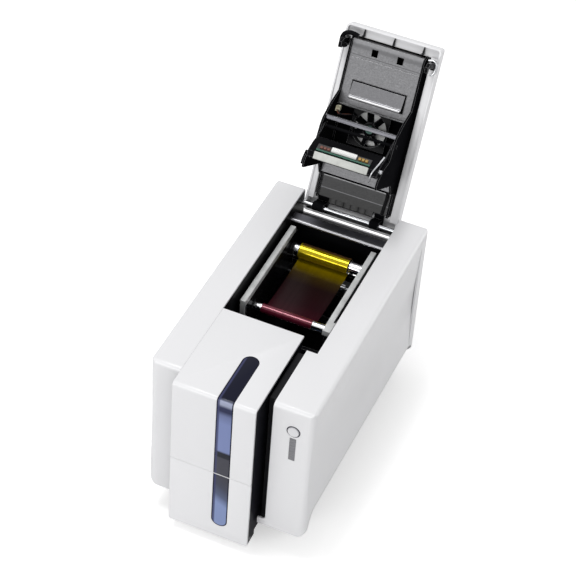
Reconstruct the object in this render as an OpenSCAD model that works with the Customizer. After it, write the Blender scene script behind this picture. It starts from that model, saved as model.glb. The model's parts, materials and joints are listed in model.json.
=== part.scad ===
// Desktop card printer: a hinged lid over the ribbon, a card feeder above an output hopper.
// X runs to the right, Y to the back and Z up. The origin is on the table, in the middle of
// the floor that the printer covers while its lid is open, and the lid is drawn open.

/* [Casing] */
// Width over both side panels
case_w = 205; // [200:1:215]
// Depth from the feeder's front to the back of the casing
case_d = 381; // [378:1:392]
// Height of the casing's flat top
case_h = 245; // [242:1:255]
// Thickness of the moulded panels
wall = 2.5; // [2.2:0.1:3]
// Radius of the upright corners
corner_r = 10; // [8:0.5:13]
// Radius of the top edges
edge_r = 6; // [4:0.5:8]
// How far the feeder stands in front of the side panels
feeder_proud = 22; // [18:1:24]
// Height of the side panels' lowest edge
skirt_z = 37; // [34:0.5:40]
// Height of the arch in the side panels
arch_z = 68; // [62:1:72]
// Depth of the hollow in each side face
scoop_d = 3; // [1:0.5:4]
// Thickness of the steel side plates
plate_t = 1.5; // [1.2:0.1:2]

/* [Base] */
// Height of the rubber feet
foot_h = 8; // [6:0.5:10]
// Radius of the rubber feet
foot_r = 9; // [7:0.5:11]
// Distance from the side panels' faces in to the base pan
base_inset = 22; // [20:0.5:24]
// Distance from the side panels' faces in to the tray above the pan
tray_inset = 10; // [8:0.5:12]
// Distance from the side panels' front back to the base pan
pan_setback = 34; // [30:1:38]
// Distance from the side panels' front back to the tray
tray_setback = 12; // [10:0.5:14]
// Height of the step between pan and tray
shelf_z = 40; // [38:0.5:42]
// Thickness of the base floor
floor_t = 3; // [2.5:0.1:4]

/* [Feeder and hopper] */
// Width of the two front covers
cover_w = 102.5; // [101:0.5:103]
// Thickness of the front covers
cover_t = 3; // [2.5:0.1:3.2]
// Length of the feeder cover's flat top
feeder_top_d = 136.5; // [134:0.5:140]
// Height of the hopper cover's lower edge
hopper_z = 11; // [10:0.5:13]
// Gap between the two front covers
cover_gap = 1.2; // [0.8:0.1:2]
// Width of the window strip
window_w = 20.5; // [16:0.5:24]
// Length of the window on the feeder's top
window_top_l = 78.5; // [60:0.5:90]
// Height of the window's lower tip
window_tip_z = 33.7; // [30:0.1:40]
// Width of the upright slot beside the feeder
slot_w = 11.5; // [10:0.5:12]
// How far the feeder cover lifts, in degrees
feeder_travel = 60; // [30:1:65]
// Radius of the cover hinge pins
pin_r = 1.25; // [1:0.05:1.3]
// Radius of the hopper hinge pins
hopper_pin_r = 2; // [1.5:0.1:2.5]

/* [Lid] */
// Angle at which the lid stands open
lid_angle = 115; // [100:1:118]
// Distance from the casing back to the hinge axle
hinge_inset = 8.5; // [8:0.1:9.5]
// Distance from the casing top down to the hinge axle
hinge_drop = 17; // [16:0.5:18]
// How far the lid stands above the casing top
lid_crown = 2; // [1:0.1:3]
// Gap along each side of the lid
lid_gap = 2.5; // [2:0.1:3]
// Radius of the hinge axle
axle_r = 2.75; // [2.5:0.05:3]
// Depth of the print line below the hinge axle
head_drop = 92; // [91:0.5:93]
// Distance from the hinge axle forward to the print line
head_s = 85; // [84:0.5:86]
// Distance from the lid's free end back to the latch shaft
latch_inset = 21; // [20:0.5:23]
// Width of the cooling fan
fan_w = 48; // [44:0.5:50]
// Thickness of the cooling fan
fan_t = 12; // [10:0.5:13]
// Number of fan blades
fan_blades = 7; // [5:1:9]

/* [Ribbon and card path] */
// Place of the card's centre line, to the right of the casing's middle
card_x = -3; // [-3.5:0.1:-2.5]
// Width of a card
card_w = 54; // [53:0.5:55]
// Length of a card
card_l = 86; // [85:0.5:87]
// Inside width of the ribbon cassette
cassette_w = 100; // [98:0.5:104]
// Room for the cassette's bars and gears, both sides together
cassette_room = 28; // [27:0.5:32]
// Width of the ribbon film
film_w = 66; // [58:0.5:70]
// How far the ribbon's middle lies to the left of the card's
film_shift = 6; // [4:0.5:6]
// Radius of the full supply roll
supply_r = 10; // [9:0.5:11]
// Radius of the supply core
supply_core_r = 7.5; // [6:0.5:8]
// Radius of the take-up roll
takeup_r = 6; // [5.8:0.1:8]
// Radius of the take-up core
takeup_core_r = 5.5; // [4:0.5:5.5]
// How far the slack film hangs down between the rolls
film_sag = 2.5; // [1:0.5:6]
// Radius of the transport rollers
roller_r = 6; // [5.5:0.1:6.2]
// Radius of the roller shafts
shaft_r = 2.5; // [2:0.1:2.8]
// Radial clearance of a turning shaft
running = 0.08; // [0.05:0.01:0.1]

/* [Controls] */
// Radius of the power button
button_r = 6.9; // [6:0.1:8]
// Distance from the casing top down to the power button
button_drop = 34; // [30:0.5:40]
// Travel of the power button
button_travel = 1; // [0.5:0.1:1.5]
// Height of the lit bar
bar_h = 35.5; // [30:0.5:38]

/* [Hidden] */
$fn = 64;

// ---- places worked out from the sizes above ----
cut = 1; // spare length of a cutting shape
seat = 0.3; // gap between pieces that move past each other
hinge_s0 = case_d - hinge_inset; // hinge, behind the feeder's front
lid_l = hinge_s0 - feeder_top_d - 2; // hinge to the lid's free end
latch_s = lid_l - latch_inset; // hinge to the latch shaft
lid_h = hinge_drop + lid_crown; // hinge to the lid's outer face
lid_back = -lid_l * cos(lid_angle) + lid_h * sin(lid_angle); // open lid, behind the hinge
front_y = -(hinge_s0 + lid_back) / 2;
back_y = front_y + case_d;
panel_y = front_y + feeder_proud;
hinge_y = front_y + hinge_s0;
hinge_z = case_h - hinge_drop;
half_w = case_w / 2;
half_o = (cassette_w + cassette_room) / 2;
inner_w = half_w - wall - scoop_d; // clear of the side panels' hollowed walls
lid_half = half_o - lid_gap;
floor_z = foot_h + floor_t;
tray_back = back_y - 9;
tray_top = arch_z + 8;
// covers and frames at the front
cover_x0 = -half_o + 0.5;
cover_x1 = cover_x0 + cover_w;
slot_x1 = cover_x1 + 0.5 + slot_w;
frame_in = 1.5; // frame walls, in from the covers' edges
frame_x0 = cover_x0 + frame_in;
frame_x1 = cover_x1 - frame_in;
frame_t = 1.7;
print_z = hinge_z - head_drop; // underside of the print head
film_t = 0.3;
card_z = print_z - 4; // underside of a card on its way
split_z = card_z - 9.9;
feeder_z0 = split_z + cover_gap / 2;
window_x = cover_x0 + 65.2;
feeder_pin_y = front_y + feeder_top_d - 6;
feeder_pin_z = case_h - cover_t - 0.4 - pin_r - 0.4;
feeder_back = front_y + feeder_top_d - 1;
feeder_ear_r = pin_r + 1.8;
feeder_swing = 60; // how far the feeder cover lifts
hopper_pin_y = front_y + 12;
hopper_pin_z = hopper_z + 6;
hopper_floor_z = hopper_z + 9;
ear_t = 2.5;
frame_back = front_y + 134;
well_y0 = front_y + 14;
// card path
platen_y = hinge_y - head_s;
feed_y = platen_y - 87.5;
exit_y = platen_y + 52.5;
clean_y = feed_y - 50;
pick_y = front_y + 80;
shaft_z = card_z - 0.2 - roller_r;
guide_z = card_z - 1.5;
guide_t = 1.8;
clean_r = 7;
pinch_r = 5;
pinch_shaft_r = 2;
pinion_shaft_r = 1.5;
pulley_r = 7;
belt_x = -half_o - plate_t - 8;
belt_w = 5;
gear_x = half_o + plate_t + 1;
gear_w = 5;
gear_m = 1;
platen_teeth = 28;
pinion_teeth = 12;
// drive motors
drive_x = [gear_x + gear_w + 1, inner_w - 4.5];
drive_side = 35;
pinion_z = shaft_z - gear_m * (platen_teeth + pinion_teeth) / 2;
ribbon_motor_x = [half_o + plate_t, inner_w - 9.5];
motor_cap = 6; // solid end of a motor
// ribbon
spool_z = hinge_z - 31.5;
supply_y = hinge_y - 52;
takeup_y = hinge_y - 168.5;
film_x = card_x - film_shift;
cass_x0 = card_x - cassette_w / 2;
cass_x1 = card_x + cassette_w / 2;
cheek_t = 3;
bar_w = 7;
bar_z = hinge_z - 11;
bar_y0 = hinge_y - latch_s + 17;
bar_y1 = hinge_y - 44;
takeup_teeth = 26;
ribbon_pinion_z = spool_z - gear_m * (takeup_teeth + pinion_teeth) / 2;
takeup_gear_x = cass_x1 + cheek_t + 1;
// lid, in its own hinge frame
cheek_l = cass_x0 + 3; // outer face of the left cheek
cheek_r = cass_x1 - 0.5; // outer face of the right cheek
lid_t = 2.5;
roof = lid_h - lid_t; // inner face of the lid's roof, above the hinge
frame_end = lid_l - 13; // free end of the lid's inner frame
fan_x = card_x;
fan_s = 113;
head_pivot = [114, 42];
// controls
button_x = (slot_x1 + half_w) / 2 + 0.25;
button_z = case_h - button_drop;
bar_x0 = button_x - 3.7;
bar_wd = 7.7;
bar_z0 = button_z - 46.5;

// ---- shared shapes ----
module block(x, y, z) {
    translate([x[0], y[0], z[0]]) cube([x[1] - x[0], y[1] - y[0], z[1] - z[0]]);
}

// A flat shape in Y and Z, drawn from x0 to x1
module x_prism(x0, x1) {
    translate([x0, 0, 0]) rotate([90, 0, 90]) linear_extrude(x1 - x0) children();
}

// A flat shape in X and Z, drawn from y0 to y1
module y_prism(y0, y1) {
    translate([0, y1, 0]) rotate([90, 0, 0]) linear_extrude(y1 - y0) children();
}

module z_prism(z0, z1) {
    translate([0, 0, z0]) linear_extrude(z1 - z0) children();
}

module x_rod(x0, x1, y, z, r) {
    translate([x0, y, z]) rotate([0, 90, 0]) cylinder(h = x1 - x0, r = r);
}

module y_rod(y0, y1, x, z, r) {
    translate([x, y1, z]) rotate([90, 0, 0]) cylinder(h = y1 - y0, r = r);
}

module round_rect(x0, x1, y0, y1, r) {
    translate([x0 + r, y0]) square([x1 - x0 - 2 * r, y1 - y0]);
    translate([x0, y0 + r]) square([x1 - x0, y1 - y0 - 2 * r]);
    for (x = [x0 + r, x1 - r], y = [y0 + r, y1 - r]) translate([x, y]) circle(r);
}

// Points along an arc, from angle a0 to a1
function arc(c, r, a0, a1, n) =
    [for (i = [0 : n]) let (a = a0 + (a1 - a0) * i / n) c + r * [cos(a), sin(a)]];

// A toothed wheel on an X axis, with a tooth pointing at angle turn from +Y
module gear(x0, x1, y, z, teeth, turn) {
    pitch_r = gear_m * teeth / 2;
    tip_r = pitch_r + 0.8 * gear_m;
    root_r = pitch_r - 1.1 * gear_m;
    half_root = 360 / teeth * 0.22;
    half_tip = 360 / teeth * 0.09;
    translate([0, y, z]) x_prism(x0, x1) polygon([for (i = [0 : teeth - 1], k = [0 : 3])
        let (a = turn + 360 * i / teeth + [-half_root, -half_tip, half_tip, half_root][k],
             r = [root_r, tip_r, tip_r, root_r][k])
        r * [cos(a), sin(a)]]);
}

// A coil spring along Z, as a tube swept round a helix
module coil(h, r, wire_r, turns) {
    sides = 6;
    steps = 12 * turns;
    points = [for (i = [0 : steps], k = [0 : sides - 1])
        let (a = 30 * i, b = 360 * k / sides, q = r + wire_r * cos(b))
        [q * cos(a), q * sin(a), wire_r + (h - 2 * wire_r) * i / steps + wire_r * sin(b)]];
    walls = [for (i = [0 : steps - 1], k = [0 : sides - 1])
        let (n = (k + 1) % sides) [i * sides + k, (i + 1) * sides + k, (i + 1) * sides + n, i * sides + n]];
    polyhedron(points, concat(walls, [[for (k = [0 : sides - 1]) k],
        [for (k = [sides - 1 : -1 : 0]) steps * sides + k]]), convexity = 10);
}

// ---- casing ----
// The casing's whole outer form, moved inwards by inset
module casing_form(inset) {
    x = half_w - inset;
    y0 = panel_y + inset;
    y1 = back_y - inset;
    top = case_h - inset;
    skirt_r = 14;
    scoop_z = [arch_z - 6, case_h - 14];
    chord = (scoop_z[1] - scoop_z[0]) / 2;
    scoop_r = (chord * chord + scoop_d * scoop_d) / (2 * scoop_d);
    difference() {
        intersection() {
            z_prism(-cut, case_h + cut) round_rect(-x, x, y0, y1, corner_r - inset);
            y_prism(y0 - cut, y1 + cut) union() {
                round_rect(-x, x, skirt_z + inset, top - 30, skirt_r - inset);
                round_rect(-x, x, top - 80, top, edge_r - inset);
            }
            x_prism(-x - cut, x + cut) round_rect(y0, y1, -30, top, edge_r - inset);
        }
        for (s = [-1, 1]) intersection() {
            translate([s * (x + scoop_r - scoop_d), 0, (scoop_z[0] + scoop_z[1]) / 2])
                rotate([90, 0, 0]) cylinder(h = 2 * case_d, r = scoop_r, center = true, $fn = 360);
            block([-case_w, case_w], [y0 - cut, back_y - 24], scoop_z);
        }
    }
}

module side_arch() {
    r = 20;
    x_prism(-case_w, case_w) polygon(concat(
        [[panel_y + 9.5, -cut]],
        arc([panel_y + 28, arch_z - r], r, 200, 90, 12),
        arc([back_y - 29, arch_z - 7 - r], r, 90, 10, 12),
        [[back_y - 7, -cut]]));
}

module panel_shell() {
    difference() {
        casing_form(0);
        casing_form(wall);
        side_arch();
    }
}

module left_panel() color("whitesmoke") difference() {
    panel_shell();
    block([-half_o, case_w], [front_y - cut, back_y + cut], [-cut, case_h + cut]);
}

module right_panel() color("whitesmoke") difference() {
    step_y = front_y + 115.5;
    end_r = (slot_w - 1.5) / 2;
    slot_x0 = slot_x1 - 2 * end_r;
    slot_z = 47;
    panel_shell();
    z_prism(-cut, case_h + cut) union() {
        translate([-case_w, step_y]) square([case_w + half_o, case_d]);
        translate([-case_w, front_y - cut]) square([case_w + slot_x0, case_d]);
        translate([slot_x1, step_y]) square([half_o - slot_x1, 4]);
    }
    y_prism(front_y - cut, step_y + cut) union() {
        translate([-case_w, slot_z + end_r]) square([case_w + slot_x1, case_h]);
        translate([slot_x0 + end_r, slot_z + end_r]) circle(end_r);
        translate([-case_w, slot_z]) square([case_w + slot_x0 + end_r, case_h]);
    }
    y_rod(panel_y - cut, panel_y + wall + cut, button_x, button_z, button_r + 1.5);
    block([bar_x0, bar_x0 + bar_wd], [panel_y - cut, panel_y + wall + cut], [bar_z0, bar_z0 + bar_h]);
}

module rear_panel() color("gainsboro") difference() {
    x = half_o - 0.2;
    top = hinge_z - 22;
    block([-x, x], [back_y - wall, back_y], [skirt_z + 1, top]);
    for (i = [0 : 8]) // air slots
        block([-40 + 10 * i, -35 + 10 * i], [back_y - wall - cut, back_y + cut], [120, 170]);
    block([inlet_x - 5.5, inlet_x + 5.5], [back_y - wall - cut, back_y + cut], [socket_z, socket_z + 11]);
    block([usb_x - 6, usb_x + 6], [back_y - wall - cut, back_y + cut], [socket_z, socket_z + 10.5]);
    block([net_x - 8, net_x + 8], [back_y - wall - cut, back_y + cut], [socket_z, socket_z + 13.5]);
    block([40, 47], [back_y - wall - cut, back_y + cut], [socket_z, socket_z + 3]); // lock slot
}

module base_tray() color([0.13, 0.13, 0.14]) {
    x = half_w - base_inset;
    tray_x = half_w - tray_inset;
    y0 = panel_y + pan_setback;
    tray_y = panel_y + tray_setback;
    r = 8;
    rib_in = 3;
    difference() {
        union() {
            z_prism(foot_h, shelf_z + floor_t) round_rect(-x, x, y0, tray_back, r);
            z_prism(shelf_z, tray_top) round_rect(-tray_x, tray_x, tray_y, tray_back, r);
        }
        z_prism(floor_z, shelf_z + floor_t + cut)
            round_rect(-x + wall, x - wall, y0 + wall, tray_back - wall, r - wall);
        z_prism(shelf_z + floor_t, tray_top + cut)
            round_rect(-tray_x + wall, tray_x - wall, tray_y + wall, tray_back - wall, r - wall);
        // way in for the hopper
        block([-half_o, slot_x1 + 1], [tray_y - cut, y0 + 12], [hopper_floor_z, tray_top + cut]);
        // bay for the drive motor
        block([drive_x[0] - 1, drive_x[1] + 1], [platen_y - drive_side / 2 - 1, platen_y + drive_side / 2 + 1],
            [pinion_z - drive_side / 2 - 1, case_h]);
    }
    // rib under the hopper frame
    block([frame_x0 + rib_in, frame_x1 - rib_in], [frame_back - 6, frame_back - 3],
        [floor_z - 0.5, hopper_floor_z]);
}

module rubber_feet() color([0.06, 0.06, 0.06]) {
    x = half_w - base_inset - foot_r - 4;
    for (sx = [-1, 1], y = [panel_y + pan_setback + foot_r + 4, tray_back - foot_r - 4])
        translate([sx * x, y, 0]) cylinder(h = foot_h, r = foot_r);
}

// A steel wall of the opening, with a hole for the hinge axle and for each shaft
module side_plate(x0, y0, shafts) {
    x = [x0 - cut, x0 + plate_t + cut];
    difference() {
        x_prism(x0, x0 + plate_t)
            round_rect(y0, back_y - wall, floor_z, case_h - wall, edge_r - wall + 1);
        // it stands on the tray's shelf in front, and clear of the base's back wall
        block(x, [front_y, panel_y + pan_setback + wall + seat], [0, shelf_z + floor_t]);
        block(x, [tray_back - wall - seat, back_y], [0, tray_top + seat]);
        for (p = concat(shafts, [[hinge_y, hinge_z, axle_r]]))
            x_rod(x[0], x[1], p[0], p[1], p[2] + running);
    }
}

top_rollers = [[clean_y, card_z + 1 + clean_r, shaft_r], [feed_y, card_z + 1.2 + pinch_r, pinch_shaft_r],
    [exit_y, card_z + 1.2 + pinch_r, pinch_shaft_r]];
low_rollers = [for (y = [feed_y, platen_y, exit_y]) [y, shaft_z, shaft_r]];

module left_side_plate() color([0.1, 0.1, 0.11])
    side_plate(-half_o - plate_t, panel_y + 18,
        concat(top_rollers, low_rollers, [[pick_y, shaft_z, shaft_r]]));

module right_side_plate() color([0.1, 0.1, 0.11])
    side_plate(half_o, front_y + 118,
        concat(top_rollers, low_rollers, [[takeup_y, ribbon_pinion_z, pinion_shaft_r]]));

module slot_column() color([0.07, 0.07, 0.08])
    block([cover_x1 + 1.3, slot_x1 - 0.3], [panel_y + 15, front_y + 116], [hopper_floor_z, case_h - 9]);

module rear_cross_bar() color("silver") {
    y0 = hinge_y - 37;
    z = hinge_z - 3;
    block([-half_o, half_o], [y0 + 2, y0 + 15], [z + 1.4, z + 2.6]);
    x_rod(-half_o, half_o, y0 + 2.5, z + 0.5, 2.5);
    block([-half_o, half_o], [y0 + 13.8, y0 + 15], [z - 8, z + 2]);
}

module hinge_axle() color([0.85, 0.86, 0.88])
    x_rod(-half_o - plate_t - 1, half_o + plate_t + 1, hinge_y, hinge_z, axle_r);

module hinge_screen() color([0.3, 0.3, 0.31])
    block([-half_o, half_o], [hinge_y - 21.5, hinge_y - 20.3], [hinge_z - 60, hinge_z - 6]);

module catch_studs() color([0.75, 0.76, 0.78]) {
    y = hinge_y - latch_s;
    z = hinge_z - 24;
    gap = 0.7;
    hook_out = half_o - 6.5;
    for (s = [-1, 1]) mirror([s < 0 ? 1 : 0, 0, 0]) {
        x_rod(hook_out + gap, half_o, y, z, 2.5);
        block([half_o - 2, half_o], [y - 6, y + 6], [z - 8, z + 8]);
    }
}

// ---- feeder and hopper ----
// Side outline of the feeder cover: a front wall that turns into a flat top
module feeder_outline() {
    r = 5;
    difference() {
        round_rect(front_y, front_y + 3 * r, feeder_z0 - 3 * r, case_h, r);
        translate([front_y - cut, feeder_z0 - 4 * r]) square([4 * r, 4 * r]);
        translate([front_y + 2 * r, case_h - 2 * r]) square([4 * r, 4 * r]);
        translate([front_y + cover_t, feeder_z0 - 4 * r])
            square([4 * r, case_h - cover_t - 2 - feeder_z0 + 4 * r]);
        translate([front_y + cover_t + 2, case_h - cover_t - 3]) square([4 * r, 3]);
        translate([front_y + cover_t + 2, case_h - cover_t - 2]) circle(2);
    }
    translate([front_y + 2 * r, case_h - cover_t]) square([feeder_back - front_y - 2 * r, cover_t]);
}

module feeder_window_form() {
    r = window_w / 2;
    intersection() {
        x_prism(window_x - r, window_x + r) feeder_outline();
        union() {
            block([window_x - r, window_x + r], [front_y - cut, front_y + window_top_l - r],
                [feeder_z0 - cut, case_h + cut]);
            translate([window_x, front_y + window_top_l - r, case_h - 2 * cover_t])
                cylinder(h = 3 * cover_t, r = r);
        }
    }
}

module feeder_cover() color("whitesmoke") {
    ear_r = feeder_ear_r;
    difference() {
        union() {
            difference() {
                x_prism(cover_x0, cover_x1) feeder_outline();
                feeder_window_form();
            }
            for (x = [frame_x0 + frame_t + seat, frame_x1 - frame_t - seat - ear_t]) {
                x_rod(x, x + ear_t, feeder_pin_y, feeder_pin_z, ear_r);
                block([x, x + ear_t], [feeder_pin_y - ear_r, feeder_pin_y + ear_r],
                    [feeder_pin_z, case_h - cover_t + 0.1]);
            }
        }
        for (x = [frame_x0 + frame_t, frame_x1 - frame_t - 3.2])
            x_rod(x - 0.5, x + 3.7, feeder_pin_y, feeder_pin_z, pin_r + running);
    }
}

module feeder_window() color([0.2, 0.22, 0.4]) feeder_window_form();

// The hinge pins of both front covers
module cover_pins() color("silver")
    for (p = [[feeder_pin_y, feeder_pin_z, pin_r], [hopper_pin_y, hopper_pin_z, hopper_pin_r]]) {
        x_rod(frame_x0, frame_x0 + frame_t + 3, p[0], p[1], p[2]);
        x_rod(frame_x1 - frame_t - 3, frame_x1, p[0], p[1], p[2]);
    }

module feeder_frame() color([0.22, 0.22, 0.24]) {
    y0 = front_y + cover_t + 1.5;
    z0 = split_z + 1.5;
    boss = pin_r + 0.4;
    top = feeder_pin_z + boss;
    run = frame_back - feeder_pin_y + cut;
    well_in = card_w / 2 + 0.7;
    well_t = 2;
    well_top = case_h - 24;
    slot_y = [pick_y - roller_r - 1.5, pick_y + roller_r + 1.5];
    difference() {
        union() {
            difference() {
                block([frame_x0, frame_x1], [y0, frame_back], [z0, top]);
                block([frame_x0 + frame_t, frame_x1 - frame_t], [y0 - cut, frame_back - 2], [z0 + 2, top + cut]);
            }
            // floor and walls of the card well
            block([frame_x0 + 1, frame_x1 - 1], [well_y0 - 2, frame_back - 1], [card_z - 4, card_z - 2]);
            for (x = [card_x - well_in - well_t, card_x + well_in])
                block([x, x + well_t], [well_y0, well_y0 + card_l + 3], [card_z - 3, well_top]);
            block([card_x - well_in - 1, card_x + well_in + 1],
                [well_y0 + card_l + 1, well_y0 + card_l + 3], [card_z + 1.2, well_top]);
        }
        // pick roller and its shaft
        block([card_x - 24, card_x + 24], slot_y, [z0 - cut, card_z + 0.5]);
        x_rod(frame_x0 - cut, frame_x1 + cut, pick_y, shaft_z, shaft_r + running);
        // way out for a card
        block([card_x - well_in, card_x + well_in], [frame_back - 3, frame_back + cut],
            [card_z - 1.5, card_z + 4]);
        for (x = [frame_x0, frame_x1 - frame_t])
            x_rod(x - cut, x + frame_t + cut, feeder_pin_y, feeder_pin_z, pin_r);
        // the cover's ears turn here
        block([frame_x0 + frame_t, frame_x1 - frame_t], [frame_back - 3, frame_back + cut],
            [feeder_pin_z - feeder_ear_r - seat, top + cut]);
        // the cover's flat top swings down behind its pins
        for (x = [frame_x0, frame_x1 - frame_t])
            x_prism(x - cut, x + frame_t + cut) translate([feeder_pin_y, feeder_pin_z]) difference() {
                polygon([[0, 0], [0, boss + cut], [run, boss + cut],
                    [run, boss * cos(feeder_swing) - (run - boss * sin(feeder_swing)) * tan(feeder_swing)],
                    [boss * sin(feeder_swing), boss * cos(feeder_swing)]]);
                circle(boss);
            }
    }
}

module hopper_outline() {
    r = 5;
    z1 = split_z - cover_gap / 2;
    difference() {
        translate([front_y, hopper_z]) square([15, z1 - hopper_z]);
        translate([front_y + cover_t, hopper_z + cover_t]) square([15, z1]);
        difference() {
            translate([front_y - cut, hopper_z - cut]) square(r + cut);
            translate([front_y + r, hopper_z + r]) circle(r);
        }
    }
    difference() {
        translate([front_y + cover_t - 0.5, hopper_z + cover_t - 0.5]) square(2.5);
        translate([front_y + cover_t + 2, hopper_z + cover_t + 2]) circle(2);
    }
}

module hopper_window_form() {
    r = window_w / 2;
    z = window_tip_z + r;
    intersection() {
        x_prism(window_x - r, window_x + r) hopper_outline();
        y_prism(front_y - cut, front_y + cover_t) {
            translate([window_x - r, z]) square([window_w, split_z - z]);
            translate([window_x, z]) circle(r);
        }
    }
}

module hopper_cover() color("whitesmoke") {
    ear_r = hopper_pin_r + 2.2;
    difference() {
        union() {
            difference() {
                x_prism(cover_x0, cover_x1) hopper_outline();
                hopper_window_form();
            }
            for (x = [frame_x0 + frame_t + seat, frame_x1 - frame_t - seat - ear_t]) {
                x_rod(x, x + ear_t, hopper_pin_y, hopper_pin_z, ear_r);
                block([x, x + ear_t], [front_y + cover_t - 0.1, hopper_pin_y],
                    [hopper_pin_z - ear_r, hopper_pin_z + ear_r]);
            }
        }
        // the lower flange leaves room for the frame's feet
        for (x = [[cover_x0 - cut, frame_x0 + frame_t + seat], [frame_x1 - frame_t - seat, cover_x1 + cut]])
            block(x, [front_y + cover_t + 0.6, front_y + 16], [hopper_z - cut, hopper_z + cover_t + 2]);
        for (x = [frame_x0 + frame_t, frame_x1 - frame_t - 3.2])
            x_rod(x - 0.5, x + 3.7, hopper_pin_y, hopper_pin_z, hopper_pin_r + running);
    }
}

module hopper_window() color([0.45, 0.5, 0.75]) hopper_window_form();

module hopper_frame() color([0.22, 0.22, 0.24]) {
    y0 = front_y + cover_t + 2.5;
    z1 = split_z + 1.5;
    difference() {
        union() {
            block([frame_x0, frame_x1], [y0, frame_back], [hopper_floor_z, z1]);
            for (x = [frame_x0, frame_x1 - frame_t])
                block([x, x + frame_t], [y0, front_y + 24], [hopper_pin_z - 5, hopper_floor_z + 1]);
        }
        block([frame_x0 + frame_t, frame_x1 - frame_t], [y0 - cut, frame_back - 12],
            [hopper_floor_z + 2, z1 + cut]);
        block([frame_x0 + frame_t, frame_x1 - frame_t], [y0 - cut, front_y + 21],
            [hopper_floor_z - cut, hopper_floor_z + 3]);
        for (x = [frame_x0, frame_x1 - frame_t])
            x_rod(x - cut, x + frame_t + cut, hopper_pin_y, hopper_pin_z, hopper_pin_r);
        // pick roller and its shaft
        block([card_x - 24, card_x + 24], [pick_y - roller_r - 1.5, pick_y + roller_r + 1.5],
            [z1 - 6, z1 + cut]);
        x_rod(frame_x0 - cut, frame_x1 + cut, pick_y, shaft_z, shaft_r + 1);
    }
}

// ---- card path ----
module card_guide() color([0.12, 0.12, 0.13]) difference() {
    block([-half_o, half_o], [clean_y - 8, hinge_y - 23], [guide_z - guide_t, guide_z]);
    for (y = [feed_y, platen_y, exit_y])
        block([card_x - 38, card_x + 38], [y - roller_r - 1.5, y + roller_r + 1.5],
            [guide_z - guide_t - cut, guide_z + cut]);
}

// A rubber roller on a steel shaft, with a belt pulley at its left end
module driven_roller(y, x1, half_l) {
    color([0.75, 0.76, 0.78]) x_rod(belt_x - 1, x1, y, shaft_z, shaft_r);
    color([0.15, 0.15, 0.15]) x_rod(card_x - half_l, card_x + half_l, y, shaft_z, roller_r);
    color("ivory") {
        x_rod(belt_x, belt_x + belt_w, y, shaft_z, pulley_r - 1.5);
        x_rod(belt_x + belt_w, belt_x + belt_w + 1, y, shaft_z, pulley_r);
    }
}

module pick_roller() driven_roller(pick_y, frame_x1, 20);
module feed_roller() driven_roller(feed_y, half_o + plate_t, 28);
module exit_roller() driven_roller(exit_y, half_o + plate_t, 28);

module platen_roller() {
    driven_roller(platen_y, gear_x + gear_w, 30);
    color("ivory") gear(gear_x, gear_x + gear_w, platen_y, shaft_z, platen_teeth, -90);
}

module cleaning_roller() color([0.2, 0.35, 0.6]) {
    p = top_rollers[0];
    x_rod(-half_o - plate_t, half_o + plate_t, p[0], p[1], p[2]);
    x_rod(card_x - card_w / 2 - 2, card_x + card_w / 2 + 2, p[0], p[1], clean_r);
}

// A thin shaft with two wheels that press the card down on a driven roller
module pinch_roller(p) color([0.6, 0.6, 0.62]) {
    x_rod(-half_o - plate_t, half_o + plate_t, p[0], p[1], p[2]);
    for (x = [card_x - 18, card_x + 10]) x_rod(x, x + 8, p[0], p[1], pinch_r);
}

module front_pinch_roller() pinch_roller(top_rollers[1]);
module rear_pinch_roller() pinch_roller(top_rollers[2]);

module drive_belt() color([0.08, 0.08, 0.08]) {
    in_r = pulley_r - 1.5 + seat;
    out_r = in_r + 1.4;
    difference() {
        x_prism(belt_x + 0.4, belt_x + belt_w - 0.4) belt_loop(out_r);
        x_prism(belt_x, belt_x + belt_w) belt_loop(in_r);
    }
}

module belt_loop(r) {
    translate([pick_y, shaft_z - r]) square([exit_y - pick_y, 2 * r]);
    for (y = [pick_y, exit_y]) translate([y, shaft_z]) circle(r);
}

// A square stepper motor whose shaft points to -X
module motor(x, y, z, side, post_z) {
    difference() {
        union() {
            x_prism(x[0], x[1]) round_rect(y - side / 2, y + side / 2, z - side / 2, z + side / 2, 3);
            for (dy = [-1, 1], dz = post_z)
                x_rod(half_o + plate_t, x[0] + 0.5, y + dy * (side / 2 - 2.5), z + dz, 1.5);
        }
        x_rod(x[0] - cut, x[1] - motor_cap, y, z, pinion_shaft_r + running);
    }
}

module drive_motor() color([0.35, 0.35, 0.37])
    motor(drive_x, platen_y, pinion_z, drive_side, [-15, 4]);

module motor_pinion() color("goldenrod") {
    gear(gear_x, gear_x + gear_w, platen_y, pinion_z, pinion_teeth, 90 + 180 / pinion_teeth);
    x_rod(gear_x + gear_w - 0.5, drive_x[1] - motor_cap - 3, platen_y, pinion_z, pinion_shaft_r);
}

// ---- ribbon ----
module cassette_frame() color("gainsboro") {
    for (x = [cass_x0 - bar_w, cass_x1])
        block([x, x + bar_w], [bar_y0, bar_y1], [bar_z, bar_z + 8]);
    // front tabs: a narrow one on the left, a broad one on the right
    block([cass_x0 - bar_w, cass_x0 - 1], [bar_y0, bar_y0 + 4], [bar_z - 22, bar_z]);
    block([cass_x1, cass_x1 + bar_w + 3], [bar_y0 - 3, bar_y0 + 15], [bar_z, bar_z + 8]);
}

module cassette_cheeks() color([0.09, 0.09, 0.1]) {
    z0 = spool_z - 28;
    tie = 5;
    difference() {
        union() {
            for (x = [cass_x0 - cheek_t, cass_x1])
                block([x, x + cheek_t], [bar_y0 + 4, bar_y1 + 4], [z0, bar_z]);
            // ties below the film
            for (y = [bar_y0 + 4, bar_y1 - tie])
                block([cass_x0 - 1, cass_x1 + 1], [y, y + tie], [z0, z0 + 8]);
        }
        for (p = [[supply_y, supply_core_r], [takeup_y, takeup_core_r]])
            x_rod(cass_x0 - 10, cass_x1 + 10, p[0], spool_z, p[1] + running);
    }
}

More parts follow.
